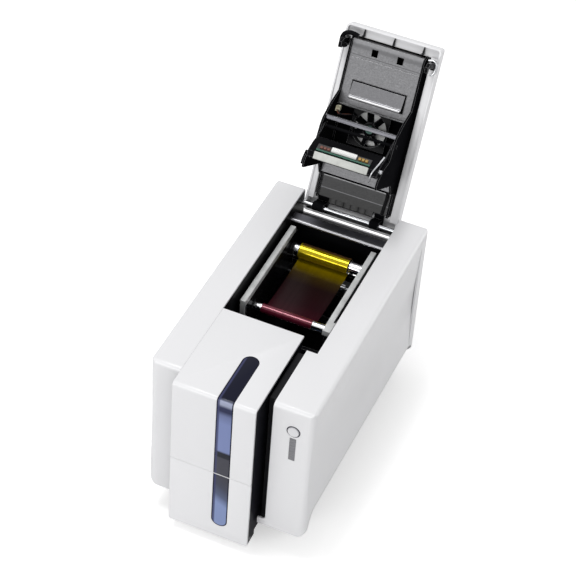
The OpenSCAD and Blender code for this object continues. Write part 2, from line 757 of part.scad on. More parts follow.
module cassette_rests() color([0.1, 0.1, 0.11])
    for (y = [bar_y0 + 6, bar_y1 - 20]) {
        block([-half_o, cass_x0 - cheek_t - 0.2], [y, y + 8], [bar_z - 6, bar_z]);
        block([cass_x1 + cheek_t + 0.2, half_o], [y, y + 8], [bar_z - 6, bar_z]);
    }

// The slack film between the rolls, with its two ends just below them
module ribbon_film() color([0.25, 0.08, 0.1]) {
    gap = 0.3;
    from = [supply_y - 2, spool_z - supply_r - gap];
    to = [takeup_y + 2, spool_z - takeup_r - gap];
    n = 12;
    path = [for (i = [0 : n]) let (k = i / n) from + (to - from) * k - [0, 4 * film_sag * k * (1 - k)]];
    x_prism(film_x - film_w / 2, film_x + film_w / 2)
        polygon(concat(path, [for (i = [n : -1 : 0]) path[i] - [0, film_t]]));
}

module spool(y, core_r, roll_r, roll_color) {
    color([0.75, 0.75, 0.77]) x_rod(cass_x0 - cheek_t, cass_x1 + cheek_t, y, spool_z, core_r);
    color(roll_color) x_rod(film_x - film_w / 2, film_x + film_w / 2, y, spool_z, roll_r);
}

module supply_spool() {
    spool(supply_y, supply_core_r, supply_r, [0.9, 0.8, 0.1]);
    color([0.3, 0.3, 0.3]) for (x = [cass_x0 + 0.5, cass_x1 - 4])
        x_rod(x, x + 3.5, supply_y, spool_z, supply_core_r + 1);
}

module takeup_spool() {
    spool(takeup_y, takeup_core_r, takeup_r, [0.85, 0.55, 0.6]);
    color("ivory") gear(takeup_gear_x, takeup_gear_x + 4, takeup_y, spool_z, takeup_teeth, -90);
    color([0.75, 0.75, 0.77]) x_rod(cass_x1, takeup_gear_x + 1, takeup_y, spool_z, takeup_core_r);
}

module ribbon_pinion() color("goldenrod") {
    x = [takeup_gear_x, takeup_gear_x + 4];
    gear(x[0], x[1], takeup_y, ribbon_pinion_z, pinion_teeth, 90 + 180 / pinion_teeth);
    x_rod(x[1] - 0.5, ribbon_motor_x[1] - motor_cap - 4, takeup_y, ribbon_pinion_z, pinion_shaft_r);
}

module ribbon_motor() color([0.35, 0.35, 0.37])
    motor(ribbon_motor_x, takeup_y, ribbon_pinion_z, 28, []);

// ---- electrics ----
inlet_x = -45;
usb_x = -20;
net_x = 8;
socket_z = arch_z + 16;

module main_board() {
    x0 = -inner_w + 7.5;
    y = [front_y + 150, back_y - 51];
    z = [arch_z + 12, case_h - 45];
    color("darkgreen") block([x0, x0 + 1.6], y, z);
    color("silver") for (py = [y[0] + 5, y[1] - 5], pz = [z[0] + 4, z[1] - 4])
        x_rod(x0 + 1, -half_o - plate_t, py, pz, 2.5);
    color([0.1, 0.1, 0.1]) {
        block([x0 - 2.5, x0 + 0.1], [y[0] + 40, y[0] + 68], [z[0] + 40, z[0] + 68]);
        block([x0 - 2, x0 + 0.1], [y[0] + 90, y[0] + 108], [z[0] + 60, z[0] + 70]);
        block([x0 - 4, x0 + 0.1], [y[0] + 30, y[0] + 80], [z[1] - 14, z[1] - 6]);
    }
}

module power_inlet() color([0.08, 0.08, 0.08]) {
    z = socket_z + 5.5;
    difference() {
        block([inlet_x - 5.5, inlet_x + 5.5], [back_y - 14, back_y], [socket_z, socket_z + 11]);
        y_rod(back_y - 10, back_y + cut, inlet_x, z, 3.1);
    }
    y_rod(back_y - 11, back_y - 1.5, inlet_x, z, 1);
}

module usb_socket() color([0.7, 0.71, 0.73]) {
    z = socket_z;
    difference() {
        block([usb_x - 6, usb_x + 6], [back_y - 16, back_y], [z, z + 10.5]);
        block([usb_x - 4.3, usb_x + 4.3], [back_y - 9, back_y + cut], [z + 1.4, z + 9.1]);
    }
    block([usb_x - 2.8, usb_x + 2.8], [back_y - 9.5, back_y - 1], [z + 3.7, z + 6.9]);
}

module network_socket() color([0.72, 0.73, 0.75]) {
    z = socket_z;
    difference() {
        block([net_x - 8, net_x + 8], [back_y - 18, back_y], [z, z + 13.5]);
        block([net_x - 5.9, net_x + 5.9], [back_y - 12, back_y + cut], [z + 2, z + 9]);
        block([net_x - 3, net_x + 3], [back_y - 12, back_y + cut], [z + 2, z + 11.5]);
    }
}

module power_button() color("gainsboro") {
    y_rod(panel_y - 0.8, panel_y + 5, button_x, button_z, button_r);
    y_rod(panel_y + 3.3, panel_y + 5, button_x, button_z, button_r + 1.2);
    y_rod(panel_y + 4, panel_y + 8.8 - button_travel - 0.3, button_x, button_z, 2);
}

module button_ring() color("silver") difference() {
    y_rod(panel_y - 0.5, panel_y + 3, button_x, button_z, button_r + 1.5);
    y_rod(panel_y - 2, panel_y + 4, button_x, button_z, button_r + 0.12);
}

module button_switch() color([0.12, 0.35, 0.2]) {
    y = panel_y + 13;
    y_rod(y - 4.2, y + 0.5, button_x, button_z, 3);
    block([button_x - 10, button_x + 10], [y, y + 1.5], [button_z - 11, button_z + 11]);
    for (sx = [-1, 1], sz = [-1, 1])
        y_rod(panel_y + wall, y + 0.5, button_x + sx * 8, button_z + sz * 9, 1.5);
}

module indicator_bar() color([0.6, 0.6, 0.63])
    block([bar_x0, bar_x0 + bar_wd], [panel_y - 0.2, panel_y + wall + 1], [bar_z0, bar_z0 + bar_h]);

// ---- lid ----
// Lid pieces are drawn with the lid shut and the hinge axle at the origin, then swung open.
// Their side outlines are lists of [distance forward of the axle, depth below the axle].
module opened() {
    translate([0, hinge_y, hinge_z]) rotate([-lid_angle, 0, 0]) children();
}

module lid_outline(x0, x1, points) {
    x_prism(x0, x1) polygon([for (p = points) [-p[0], -p[1]]]);
}

plates_x = [cheek_l + lid_t, cheek_r - lid_t];

module lid_shell() color("whitesmoke") opened() difference() {
    intersection() {
        z_prism(0, lid_h) round_rect(-lid_half, lid_half, -lid_l, hinge_inset, 5);
        y_prism(-lid_l - cut, hinge_inset + cut) round_rect(-lid_half, lid_half, -20, lid_h, 5);
        x_prism(-lid_half - cut, lid_half + cut) round_rect(-lid_l, hinge_inset, -20, lid_h, 5);
    }
    intersection() {
        z_prism(-cut, roof) round_rect(-lid_half + lid_t, lid_half - lid_t, -lid_l + lid_t,
            hinge_inset - lid_t, 3);
        y_prism(-lid_l - cut, hinge_inset + cut)
            round_rect(-lid_half + lid_t, lid_half - lid_t, -20, roof, 3);
    }
    x_rod(-lid_half - cut, lid_half + cut, 0, 0, axle_r + 1);
}

module lid_ribs() color([0.05, 0.05, 0.05]) opened()
    for (x = [card_x - 36.5, card_x + 3.5, card_x + 41])
        lid_outline(x - 1.2, x + 1.2, [[frame_end + seat, -roof], [frame_end + seat, -2],
            [lid_l - lid_t - 0.5, -roof + 1], [lid_l - lid_t - 0.5, -roof]]);

module lid_frame() color([0.08, 0.08, 0.09]) opened() {
    knuckle_r = hinge_inset - lid_t - 0.5;
    knuckles = [[cass_x0 + 3.5, cass_x0 + 18.5], [cass_x1 - 20, cass_x1 - 7.5]];
    side = [[12, -roof], [12, -2], [44, -2], [46, 10], [60, 22], [68, head_drop - 4],
        [74, head_drop - 2], [80, head_drop - 4], [92, 74], [98, 57], [116, 54], [125, 50],
        [140, 32], [153, 9], [frame_end - 9, 9], [frame_end - 3, 7], [frame_end, -2], [frame_end, -roof]];
    difference() {
        union() {
            for (x = [cheek_l, cheek_r - lid_t]) lid_outline(x, x + lid_t, side);
            difference() {
                block([cheek_l, cheek_r], [-frame_end, -12], [roof - 3, roof]);
                translate([fan_x, -fan_s, roof - 3 - cut]) cylinder(h = 5, r = fan_w / 2 - 1);
            }
            for (k = knuckles) {
                x_rod(k[0], k[1], 0, 0, knuckle_r);
                block(k, [-5, 5], [0, roof]);
                block(k, [-14, 0], [roof - 3, roof]);
            }
            // stop beside the print head
            lid_outline(cheek_l - 2.2, cheek_l + 1, [[70, 80], [84, 76], [88, 80], [78, 88], [72, 89]]);
        }
        x_rod(-half_o, half_o, 0, 0, axle_r + running);
        x_rod(-half_o, half_o, -latch_s, 0, 2.5 + running);
        x_rod(-half_o, half_o, -head_pivot[0], -head_pivot[1], 2 + running);
    }
}

module lid_plates() color([0.55, 0.55, 0.57]) opened() {
    x = plates_x;
    t = 1.5;
    top = frame_end - 2;
    difference() {
        block(x, [-top, -137], [-6, -6 + t]);
        for (hx = [card_x - 14, card_x + 19]) block([hx - 4, hx + 4], [7 - top, 16 - top], [-7, -3]);
        block([x[0] + 2, x[1] - 2], [-197.5, -196.7], [-6.5, -5.7]);
    }
    block(x, [-top, -top + t], [-6, 8]);
    block(x, [-138, -138 + t], [-9, -5]);
    block(x, [-86, -48], [-8.5, -8.5 + t]);
    block(x, [-49.5, -49.5 + t], [-8, 6]);
    block(x, [-42, -14], [4.5, 4.5 + t]);
}

module lid_flap() color([0.6, 0.6, 0.62]) opened() {
    x = [card_x - 32, card_x + 36];
    lid_outline(x[0], x[1], [[168, 6], [168, 7.2], [151, 12], [150, 11]]);
    x_rod(x[0], x[1], -150.5, -11, 2.5);
}

module lid_cross_bar() color([0.5, 0.5, 0.52]) opened() {
    x = plates_x;
    lid_outline(x[0], x[1], [[123, 44], [123, 45.2], [128, 45.2], [128, 49], [129.2, 49], [129.2, 44]]);
    block(x, [-95, -84], [-spring_z0, -spring_z0 + 1.5]);
}

spring_z0 = 45.5; // depth of the upper end of the head springs
bracket_z = 60; // depth of the top of the print head's bracket

module fan_housing() color([0.1, 0.1, 0.1]) opened() translate([fan_x, -fan_s, roof - 3]) {
    bore_r = fan_w / 2 - 2;
    difference() {
        block([-fan_w / 2, fan_w / 2], [-fan_w / 2, fan_w / 2], [-fan_t, 0]);
        translate([0, 0, -fan_t - cut]) cylinder(h = fan_t + 2 * cut, r = bore_r);
    }
    difference() {
        union() {
            translate([0, 0, -1.8]) cylinder(h = 1.5, r = 8);
            for (a = [20 : 120 : 260]) rotate(a) block([3, bore_r + 0.7], [-1.2, 1.2], [-1.7, -0.4]);
        }
        translate([0, 0, -4]) cylinder(h = 6, r = 1.5 + running);
    }
}

module fan_rotor() color([0.12, 0.12, 0.12]) opened() translate([fan_x, -fan_s, roof - 3]) {
    tip_r = fan_w / 2 - 3;
    hub_r = 8.5;
    translate([0, 0, 1 - fan_t]) cylinder(h = fan_t - 3.2, r = hub_r);
    translate([0, 0, -4]) cylinder(h = 3.8, r = 1.5);
    for (i = [0 : fan_blades - 1]) rotate(360 * i / fan_blades)
        translate([(hub_r - 1 + tip_r) / 2, 0, -6.5]) rotate([40, 0, 0])
            cube([tip_r - hub_r + 1, 8.5, 1.1], center = true);
}

module latch_shaft() color([0.1, 0.1, 0.1]) opened() {
    out = half_o - 6.5;
    x_rod(-out, out, -latch_s, 0, 2.5);
    for (x = [-out, out - 4]) {
        x_rod(x, x + 4, -latch_s, 0, 6);
        lid_outline(x, x + 4, [[latch_s + 5, 2], [latch_s + 6, 24], [latch_s + 2, 31],
            [latch_s - 5, 30], [latch_s - 5, 26], [latch_s, 25], [latch_s - 3, 2]]);
    }
}

head_x = [card_x - 35, card_x + 34];

module head_bracket() color([0.1, 0.1, 0.1]) opened() {
    p = head_pivot;
    gap = 0.7;
    x = [plates_x[0] + gap, plates_x[1] - gap];
    lid_outline(x[0], x[1], [[86, bracket_z], [103, bracket_z], [103, 66], [99, 78], [91, 88],
        [84, head_drop - 2], [81, 86], [84, 72]]);
    for (ax = [x[0], x[1] - 1.5]) {
        lid_outline(ax, ax + 1.5, [[p[0] - 5, p[1] - 2], [p[0] + 5, p[1] - 2],
            [p[0] + 4, p[1] + 6], [103, 66], [95, 66], [96, bracket_z - 6]]);
        x_rod(ax, ax + 1.5, -p[0], -p[1], 5);
    }
    x_rod(cheek_l, cheek_r, -p[0], -p[1], 2);
}

module head_board() opened() {
    color("seagreen") lid_outline(head_x[0], head_x[1],
        [[98.6, 78.5], [92.6, 86], [93.8, 87], [99.8, 79.5]]);
    color("white") lid_outline(card_x - 14, card_x + 13,
        [[99.7, 79.4], [96.5, 83.6], [98.1, 84.9], [101.4, 80.8]]);
}

module head_strip() color("lightgray") opened()
    lid_outline(head_x[0], head_x[1], [[91, 88], [92.4, 90.2], [85, head_drop],
        [83.4, head_drop - 0.4], [84, head_drop - 2]]);

module head_springs() color("silver") opened()
    for (x = [card_x - 28, card_x + 28])
        translate([x, -90, -bracket_z]) coil(bracket_z - spring_z0, 3.5, 0.45, 6);

base_tray();
rubber_feet();
left_panel();
right_panel();
rear_panel();
left_side_plate();
right_side_plate();
slot_column();
rear_cross_bar();
hinge_axle();
hinge_screen();
catch_studs();
feeder_frame();
cover_pins();
feeder_cover();
feeder_window();
hopper_frame();
hopper_cover();
hopper_window();
card_guide();
pick_roller();
cleaning_roller();
feed_roller();
platen_roller();
exit_roller();
front_pinch_roller();
rear_pinch_roller();
drive_belt();
drive_motor();
motor_pinion();
cassette_frame();
cassette_cheeks();
cassette_rests();
ribbon_film();
supply_spool();
takeup_spool();
ribbon_motor();
ribbon_pinion();
main_board();
power_inlet();
usb_socket();
network_socket();
power_button();
button_ring();
button_switch();
indicator_bar();
lid_shell();
lid_ribs();
lid_frame();
lid_plates();
lid_flap();
lid_cross_bar();
fan_housing();
fan_rotor();
latch_shaft();
head_bracket();
head_board();
head_strip();
head_springs();
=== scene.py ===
# %% [markdown]
# # A desktop card printer with its lid open
# The printer's frame comes from its engineering model, in metres, with Z up and the front towards
# -Y. Every part of that model already has its true shape and place. This lesson gives the parts
# their finishes and adds the pieces that are easier to model by hand: rounded shells, the lid's
# lining, wiring, small electronics and the ribbon's film.

# %% Load the frame
import json
import math
import bpy
import bmesh
from mathutils import Matrix, Vector

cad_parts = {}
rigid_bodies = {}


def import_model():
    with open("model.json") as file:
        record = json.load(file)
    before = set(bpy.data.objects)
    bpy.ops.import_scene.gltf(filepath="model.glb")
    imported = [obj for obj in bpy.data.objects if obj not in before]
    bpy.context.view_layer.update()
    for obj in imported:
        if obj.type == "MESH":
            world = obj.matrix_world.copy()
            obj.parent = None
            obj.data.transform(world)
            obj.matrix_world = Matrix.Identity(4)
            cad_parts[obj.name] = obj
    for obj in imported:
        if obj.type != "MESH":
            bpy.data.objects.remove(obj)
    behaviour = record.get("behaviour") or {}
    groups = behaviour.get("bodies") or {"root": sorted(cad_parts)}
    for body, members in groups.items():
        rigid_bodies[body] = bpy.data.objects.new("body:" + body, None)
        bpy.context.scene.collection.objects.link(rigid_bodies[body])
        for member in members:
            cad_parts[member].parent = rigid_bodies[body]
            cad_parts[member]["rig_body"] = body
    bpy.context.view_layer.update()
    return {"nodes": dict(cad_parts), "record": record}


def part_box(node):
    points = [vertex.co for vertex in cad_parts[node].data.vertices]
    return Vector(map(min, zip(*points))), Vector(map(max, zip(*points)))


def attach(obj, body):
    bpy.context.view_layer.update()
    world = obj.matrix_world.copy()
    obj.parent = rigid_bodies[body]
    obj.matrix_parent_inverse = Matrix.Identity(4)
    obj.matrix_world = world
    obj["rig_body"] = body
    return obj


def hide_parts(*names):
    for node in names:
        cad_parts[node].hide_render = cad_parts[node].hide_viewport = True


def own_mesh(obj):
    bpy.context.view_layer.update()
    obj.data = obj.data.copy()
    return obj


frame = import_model()
nodes = frame["nodes"]
MM = 0.001
print("CAD nodes:", len(nodes))

# %% [markdown]
# ## Where things are
# The camera is placed from the front of the feeder, and the pieces of the lid from the hinge axle.
# Reading both from the frame keeps the hand-made pieces in place when the frame changes.

# %% Reference places
front_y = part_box("feeder_cover")[0].y
axle_lo, axle_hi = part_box("hinge_axle")
hinge = Vector((0, (axle_lo.y + axle_hi.y) / 2, (axle_lo.z + axle_hi.z) / 2))
LID_OPEN = math.radians(115)
print("front", round(front_y, 4), "hinge", [round(v, 4) for v in hinge])


def in_lid(x, s, t):
    """A point of the lid: x to the right, s forward of the axle and t below it, lid shut."""
    y, z = -s * MM, -t * MM
    return Vector((x * MM, hinge.y + y * math.cos(LID_OPEN) + z * math.sin(LID_OPEN),
                   hinge.z - y * math.sin(LID_OPEN) + z * math.cos(LID_OPEN)))


lid_turn = Matrix.Translation(hinge) @ Matrix.Rotation(-LID_OPEN, 4, "X")

# %% [markdown]
# ## Camera
# The camera stands in front of the printer, to its right and well above it, with a long lens.
# Its place is stated from the feeder's front, and its direction as a heading, a tilt down and a
# small roll, as a photographer would note them.

# %% Camera
CAMERA_AT = Vector((584.7 * MM, front_y - 1392.8 * MM, 1822.0 * MM))
HEADING, TILT, ROLL = (math.radians(a) for a in (20.30, 42.85, 4.67))
LENS_MM = 122.99

camera_data = bpy.data.cameras.new("camera")
camera_data.lens = LENS_MM
camera_data.sensor_width = 36
camera_data.shift_x = -0.0069
camera_data.shift_y = 0.0132
camera_data.clip_end = 20
camera = bpy.data.objects.new("camera", camera_data)
bpy.context.collection.objects.link(camera)
right = Vector((math.cos(HEADING), math.sin(HEADING), 0))
ahead = Vector((-math.sin(HEADING) * math.cos(TILT), math.cos(HEADING) * math.cos(TILT),
                -math.sin(TILT)))
up = right.cross(ahead)
axes = (math.cos(ROLL) * right + math.sin(ROLL) * up, math.cos(ROLL) * up - math.sin(ROLL) * right)
turned = Matrix((*axes, -ahead)).transposed().to_4x4()
camera.matrix_world = Matrix.Translation(CAMERA_AT) @ turned
bpy.context.scene.camera = camera
bpy.context.scene.view_settings.view_transform = "Standard"

# %% [markdown]
# ## Nodes in code
# Floor, world and finishes are graphs of shader nodes. One helper adds a node, sets its options
# and gives its inputs their constants or links, so a graph reads like a formula. Every material
# is kept in a table of paints under its name.

# %% Helpers for nodes
paint = {}


def deselect():
    if bpy.context.object and bpy.context.object.mode != "OBJECT":
        bpy.ops.object.mode_set(mode="OBJECT")
    bpy.ops.object.select_all(action="DESELECT")


def new_material(name):
    paint[name] = bpy.data.materials.new(name)
    paint[name].use_nodes = True
    tree = paint[name].node_tree
    return tree, tree.nodes["Principled BSDF"]


def fill(node, inputs):
    """Gives inputs, named or numbered, a number, a tuple or another node's output."""
    for label, value in inputs.items():
        socket = node.inputs[label]
        if isinstance(value, bpy.types.NodeSocket):
            socket.id_data.links.new(value, socket)
        elif isinstance(value, tuple):
            socket.default_value = (*value, 1)[:len(socket.default_value)]
        else:
            socket.default_value = value
    return node


def add(tree, kind, inputs, **options):
    node = tree.nodes.new("ShaderNode" + kind)
    for label, value in options.items():
        setattr(node, label, value)
    return fill(node, inputs)


def maths(tree, operation, *values):
    """A Math node; each value is a number or a socket."""
    return add(tree, "Math", dict(enumerate(values)), operation=operation).outputs[0]


# %% [markdown]
# ## Studio
# A white sweep under plain soft light. The background's white comes from the floor's colour and
# from the world as the camera, glossy and see-through rays meet it, and not from more light on the
# printer. A lamp straight above and a broad one low in front give the highlight lines that run
# along every roller in the open casing. A weak third lamp, behind and to the right, lifts the side
# of the right panel.

# %% Floor, world and lamps
FLOOR_TONE, FLOOR_GLOW, WORLD_LIGHT = 0.84, 0.5, 0.52
WHITE = (1, 1, 1)


def seen_by_camera(tree, plain, seen, output, rays):
    """Shows one shader to the named kinds of ray and the plain one to all others."""
    path = add(tree, "LightPath", {})
    ray = path.outputs[rays[0]]
    for other in rays[1:]:
        ray = maths(tree, "MAXIMUM", ray, path.outputs[other])
    choose = add(tree, "MixShader", {0: ray, 1: plain.outputs[0], 2: seen.outputs[0]})
    fill(tree.nodes[output], {"Surface": choose.outputs[0]})


deselect()
bpy.ops.mesh.primitive_plane_add(size=12, location=(0, 0, 0))
floor = bpy.context.object
floor.name = "floor"
tree, shader = new_material("floor_paint")
fill(shader, {"Base Color": (FLOOR_TONE,) * 3, "Roughness": 0.9})
glow = add(tree, "Emission", {"Color": WHITE, "Strength": FLOOR_GLOW})
both = add(tree, "AddShader", {0: shader.outputs[0], 1: glow.outputs[0]})
seen_by_camera(tree, shader, both, "Material Output", ["Is Camera Ray"])
floor.data.materials.append(paint["floor_paint"])

world = bpy.data.worlds.new("studio")
bpy.context.scene.world = world
world.use_nodes = True
tree = world.node_tree
dim = fill(tree.nodes["Background"], {"Color": WHITE, "Strength": WORLD_LIGHT})
white = add(tree, "Background", {"Color": WHITE, "Strength": 1.0})
seen_by_camera(tree, dim, white, "World Output",
               ["Is Camera Ray", "Is Glossy Ray", "Is Transmission Ray"])


def area_lamp(name, at, aim, width, height, power):
    lamp = bpy.data.lights.new(name, "AREA")
    lamp.shape = "RECTANGLE"
    lamp.size = width
    lamp.size_y = height
    lamp.energy = power
    holder = bpy.data.objects.new(name, lamp)
    bpy.context.collection.objects.link(holder)
    holder.location = at
    holder.rotation_euler = (Vector(aim) - Vector(at)).to_track_quat("-Z", "Y").to_euler()


area_lamp("lamp_above", (-0.5, -0.1, 2.7), (0, 0, 0.2), 1.0, 0.7, 27)
area_lamp("lamp_in_front", (-0.5, -2.5, 0.95), (0, 0, 0.25), 1.6, 0.7, 20)
area_lamp("lamp_right", (1.3, 1.4, 0.6), (0.1, 0.15, 0.2), 0.8, 0.8, 6)

# %% [markdown]
# ## Finishes
# Effects that many materials use are shader node groups, each built once: a fine moulded grain
# with faint stains, the streaks of drawn or rolled metal, edges that look rounded with a lighter
# colour painted along them, partly wear and partly painted highlight, and a mask that marks a zone
# of a piece, for a part that the engineering model keeps in one solid but that shows two materials,
# or for painted shade and highlights. A group puts out only what varies over the surface, and the
# shader itself stays in each material.

# %% Node groups
FLOAT, COLOUR, VECTOR = "NodeSocketFloat", "NodeSocketColor", "NodeSocketVector"
GREY = (0.5, 0.5, 0.5, 1)   # stands in until a material sends its own colour


def start_group(name, inputs, outputs):
    """A group whose inputs are named with their usual values and its outputs with their kinds."""
    group = bpy.data.node_groups.new(name, "ShaderNodeTree")
    for label, value in inputs.items():
        kind = {1: FLOAT, 3: VECTOR, 4: COLOUR}[len(value) if isinstance(value, tuple) else 1]
        group.interface.new_socket(label, in_out="INPUT", socket_type=kind).default_value = value
    for label, kind in outputs.items():
        group.interface.new_socket(label, in_out="OUTPUT", socket_type=kind)
    return (group, group.nodes.new("NodeGroupInput").outputs,
            group.nodes.new("NodeGroupOutput"))


def vector_maths(tree, operation, first, second, result):
    return add(tree, "VectorMath", {0: first, 1: second}, operation=operation).outputs[result]


def clamped(tree, value):
    return add(tree, "Clamp", {"Value": value}).outputs[0]


def blend_colour(tree, factor, first, second, kind="MIX"):
    """Blends two colours; each is a triple or a socket."""
    return add(tree, "Mix", {"Factor": factor, "A": first, "B": second}, data_type="RGBA",
               blend_type=kind).outputs["Result"]


def own_place(tree):
    """The place on the piece, in the piece's own coordinates."""
    return add(tree, "TexCoord", {}).outputs["Object"]


def noise(tree, coord, scale, detail):
    return add(tree, "TexNoise", {"Vector": coord, "Scale": scale, "Detail": detail}).outputs["Fac"]


def build_moulded_finish():
    """Colour, roughness and relief that vary over a moulded or painted surface."""
    group, given, go = start_group(
        "moulded_finish",
        {"Color": GREY, "Stain": GREY, "Stain Amount": 0.1, "Roughness": 0.4,
         "Roughness Spread": 0.1, "Grain Scale": 2500.0, "Patch Scale": 14.0},
        {"Color": COLOUR, "Roughness": FLOAT, "Height": FLOAT})
    place = own_place(group)
    grain = noise(group, place, given["Grain Scale"], 2)
    patch = noise(group, place, given["Patch Scale"], 5)
    stained = maths(group, "MULTIPLY", maths(group, "MULTIPLY_ADD", patch, 3.0, -1.25),
                    given["Stain Amount"])
    speckled = maths(group, "MULTIPLY_ADD", maths(group, "SUBTRACT", grain, 0.5),
                     given["Stain Amount"], stained)
    rough = maths(group, "MULTIPLY_ADD", maths(group, "SUBTRACT", patch, 0.5),
                  given["Roughness Spread"], given["Roughness"])
    colour = blend_colour(group, clamped(group, speckled), given["Color"], given["Stain"])
    fill(go, {"Color": colour, "Roughness": rough, "Height": grain})
    return group


def build_drawn_metal():
    """Fine streaks along one axis, for drawn, rolled or brushed metal."""
    group, given, go = start_group(
        "drawn_metal",
        {"Color": GREY, "Dark": GREY, "Streak Amount": 0.4, "Roughness": 0.3,
         "Streak Scale": 900.0, "Stretch": (0.03, 1, 1), "Mottle": 0.0},
        {"Color": COLOUR, "Roughness": FLOAT, "Height": FLOAT})
    place = own_place(group)
    streak = noise(group, vector_maths(group, "MULTIPLY", place, given["Stretch"], "Vector"),
                   given["Streak Scale"], 3)
    mottle = maths(group, "MULTIPLY_ADD", noise(group, place, 650.0, 5), 2.2, -0.8)
    both = maths(group, "MULTIPLY_ADD", mottle, given["Mottle"],
                 maths(group, "MULTIPLY", streak, given["Streak Amount"]))
    colour = blend_colour(group, clamped(group, both), given["Color"], given["Dark"])
    rough = maths(group, "MULTIPLY_ADD", streak, 0.15, given["Roughness"])
    fill(go, {"Color": colour, "Roughness": rough, "Height": streak})
    return group


def build_zone_mask():
    """1 between two distances along an axis of the piece's own coordinates, and 0 outside."""
    group, given, go = start_group(
        "zone_mask", {"Axis": (1, 0, 0), "From": 0.0, "To": 1.0, "Soft": 0.0003},
        {"Mask": FLOAT})
    where = vector_maths(group, "DOT_PRODUCT", own_place(group), given["Axis"], "Value")
    rise = maths(group, "DIVIDE", maths(group, "SUBTRACT", where, given["From"]), given["Soft"])
    fall = maths(group, "DIVIDE", maths(group, "SUBTRACT", given["To"], where), given["Soft"])
    lower = maths(group, "MINIMUM", rise, fall)
    fill(go, {"Mask": clamped(group, maths(group, "ADD", lower, 0.5))})
    return group


def build_worn_and_highlit_edge():
    """Rounds the look of sharp edges and paints a lighter colour along them, partly wear and partly
    painted highlight.
    """
    group, given, go = start_group(
        "worn_and_highlit_edge", {"Color": GREY, "Worn And Highlit": GREY, "Amount": 0.0, "Radius": 0.00035},
        {"Color": COLOUR, "Normal": VECTOR})
    rounded = add(group, "Bevel", {"Radius": given["Radius"]}, samples=4)
    flat = add(group, "NewGeometry", {}).outputs["Normal"]
    same = vector_maths(group, "DOT_PRODUCT", rounded.outputs[0], flat, "Value")
    turned = maths(group, "MULTIPLY", maths(group, "SUBTRACT", 0.98, same), given["Amount"])
    colour = blend_colour(group, clamped(group, turned), given["Color"], given["Worn And Highlit"])
    fill(go, {"Color": colour, "Normal": rounded.outputs[0]})
    return group


moulded_finish = build_moulded_finish()
worn_and_highlit_edge = build_worn_and_highlit_edge()
drawn_metal = build_drawn_metal()
zone_mask = build_zone_mask()


def zone(tree, axis, low, high, soft=0.3):
    """A zone mask between two places in millimetres."""
    return add(tree, "Group", {"Axis": axis, "From": low * MM, "To": high * MM, "Soft": soft * MM},
               node_tree=zone_mask).outputs["Mask"]


def lid_zone(tree, origin, way, low, high, soft=0.5):
    """A zone along a direction of the lid; origin and way are (x, s, t) as in in_lid."""
    axis = lid_turn.to_3x3() @ Vector((way[0], -way[1], -way[2]))
    offset = in_lid(*origin).dot(axis) / MM
    return zone(tree, tuple(axis), low + offset, high + offset, soft)


# Rows of the shading of the lid's plates: from and to forward of the axle, colour, softness.
# The first row is painted shade along the plates' fold.
PLATE_ZONES = ((208.5, 213.5, (0.075, 0.075, 0.078), 2.5), (214.5, 220, (0.14, 0.14, 0.145), 2.0),
               (200, 200.9, (0.05, 0.05, 0.052), 0.4), (5, 41, (0.022, 0.022, 0.022), 2.0),
               (41, 42.2, (0.18, 0.18, 0.185), 0.4), (5, 25, (0.03, 0.03, 0.03), 1.0),
               (25, 26, (0.10, 0.10, 0.105), 0.4))
# The lower edge of the print head's board in the lid, and the direction up along the board.
BOARD_S, BOARD_T = 93.8, 87.0
BOARD_RISE, BOARD_LEAN = 0.625, 0.781


def shade_plates(tree, colour):
    """The lid's plates: a dark fold painted as shade, a pale rim above it, and darker plates by the
    hinge.
    """
    for low, high, tone, soft in PLATE_ZONES:
        mask = lid_zone(tree, (0, 0, 0), (0, 1, 0), low, high, soft)
        colour = blend_colour(tree, maths(tree, "MULTIPLY", mask, 0.85), colour, tone)
    return colour


def shade_board(tree, colour):
    """The head's board is painted near black above a strip along its lower edge, where its green
    shows.
    """
    darkened = lid_zone(tree, (0, BOARD_S, BOARD_T), (0, BOARD_RISE, -BOARD_LEAN), 1.9, 20)
    return blend_colour(tree, darkened, colour, (0.012, 0.010, 0.010))


def rear_bar_lip_highlight(tree, colour):
    """The rolled front edge of the rear bar is painted lighter, as a painted highlight."""
    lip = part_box("rear_cross_bar")[0].y / MM
    return blend_colour(tree, zone(tree, (0, 1, 0), lip - 1, lip + 4.2), colour,
                        (0.30, 0.30, 0.315))


def dress(tree, shader, box, bump, edge, wear_and_highlight=None, shade=None):
    """Feeds a finish group's colour, roughness and relief to the shader, over softened edges."""
    relief = add(tree, "Bump", {"Strength": bump, "Distance": 0.0002,
                                "Height": box.outputs["Height"]})
    colour = box.outputs["Color"]
    if edge:
        worn_and_highlit = add(tree, "Group", {"Radius": edge * MM, "Color": colour}, node_tree=worn_and_highlit_edge)
        # A lighter colour along the edges: partly wear, partly painted highlight.
        if wear_and_highlight:
            fill(worn_and_highlit, {"Worn And Highlit": wear_and_highlight, "Amount": 4.0})
        fill(relief, {"Normal": worn_and_highlit.outputs["Normal"]})
        colour = worn_and_highlit.outputs["Color"]
    if shade:
        colour = shade(tree, colour)
    fill(shader, {"Base Color": colour, "Roughness": box.outputs["Roughness"],
                  "Normal": relief.outputs[0]})


def moulded(name, colour, stain, rough, amount=0.12, grain=2500.0, bump=0.1, coat=0.0, spread=0.12,
            shine=0.5, patch=14.0, edge=0.35, wear_and_highlight=None, shade=None):
    tree, shader = new_material(name)
    box = add(tree, "Group", {
        "Color": colour, "Stain": stain, "Stain Amount": amount, "Roughness": rough,
        "Roughness Spread": spread, "Grain Scale": grain, "Patch Scale": patch},
        node_tree=moulded_finish)
    dress(tree, shader, box, bump, edge, wear_and_highlight, shade)
    fill(shader, {"Specular IOR Level": shine, "Coat Weight": coat, "Coat Roughness": 0.12})


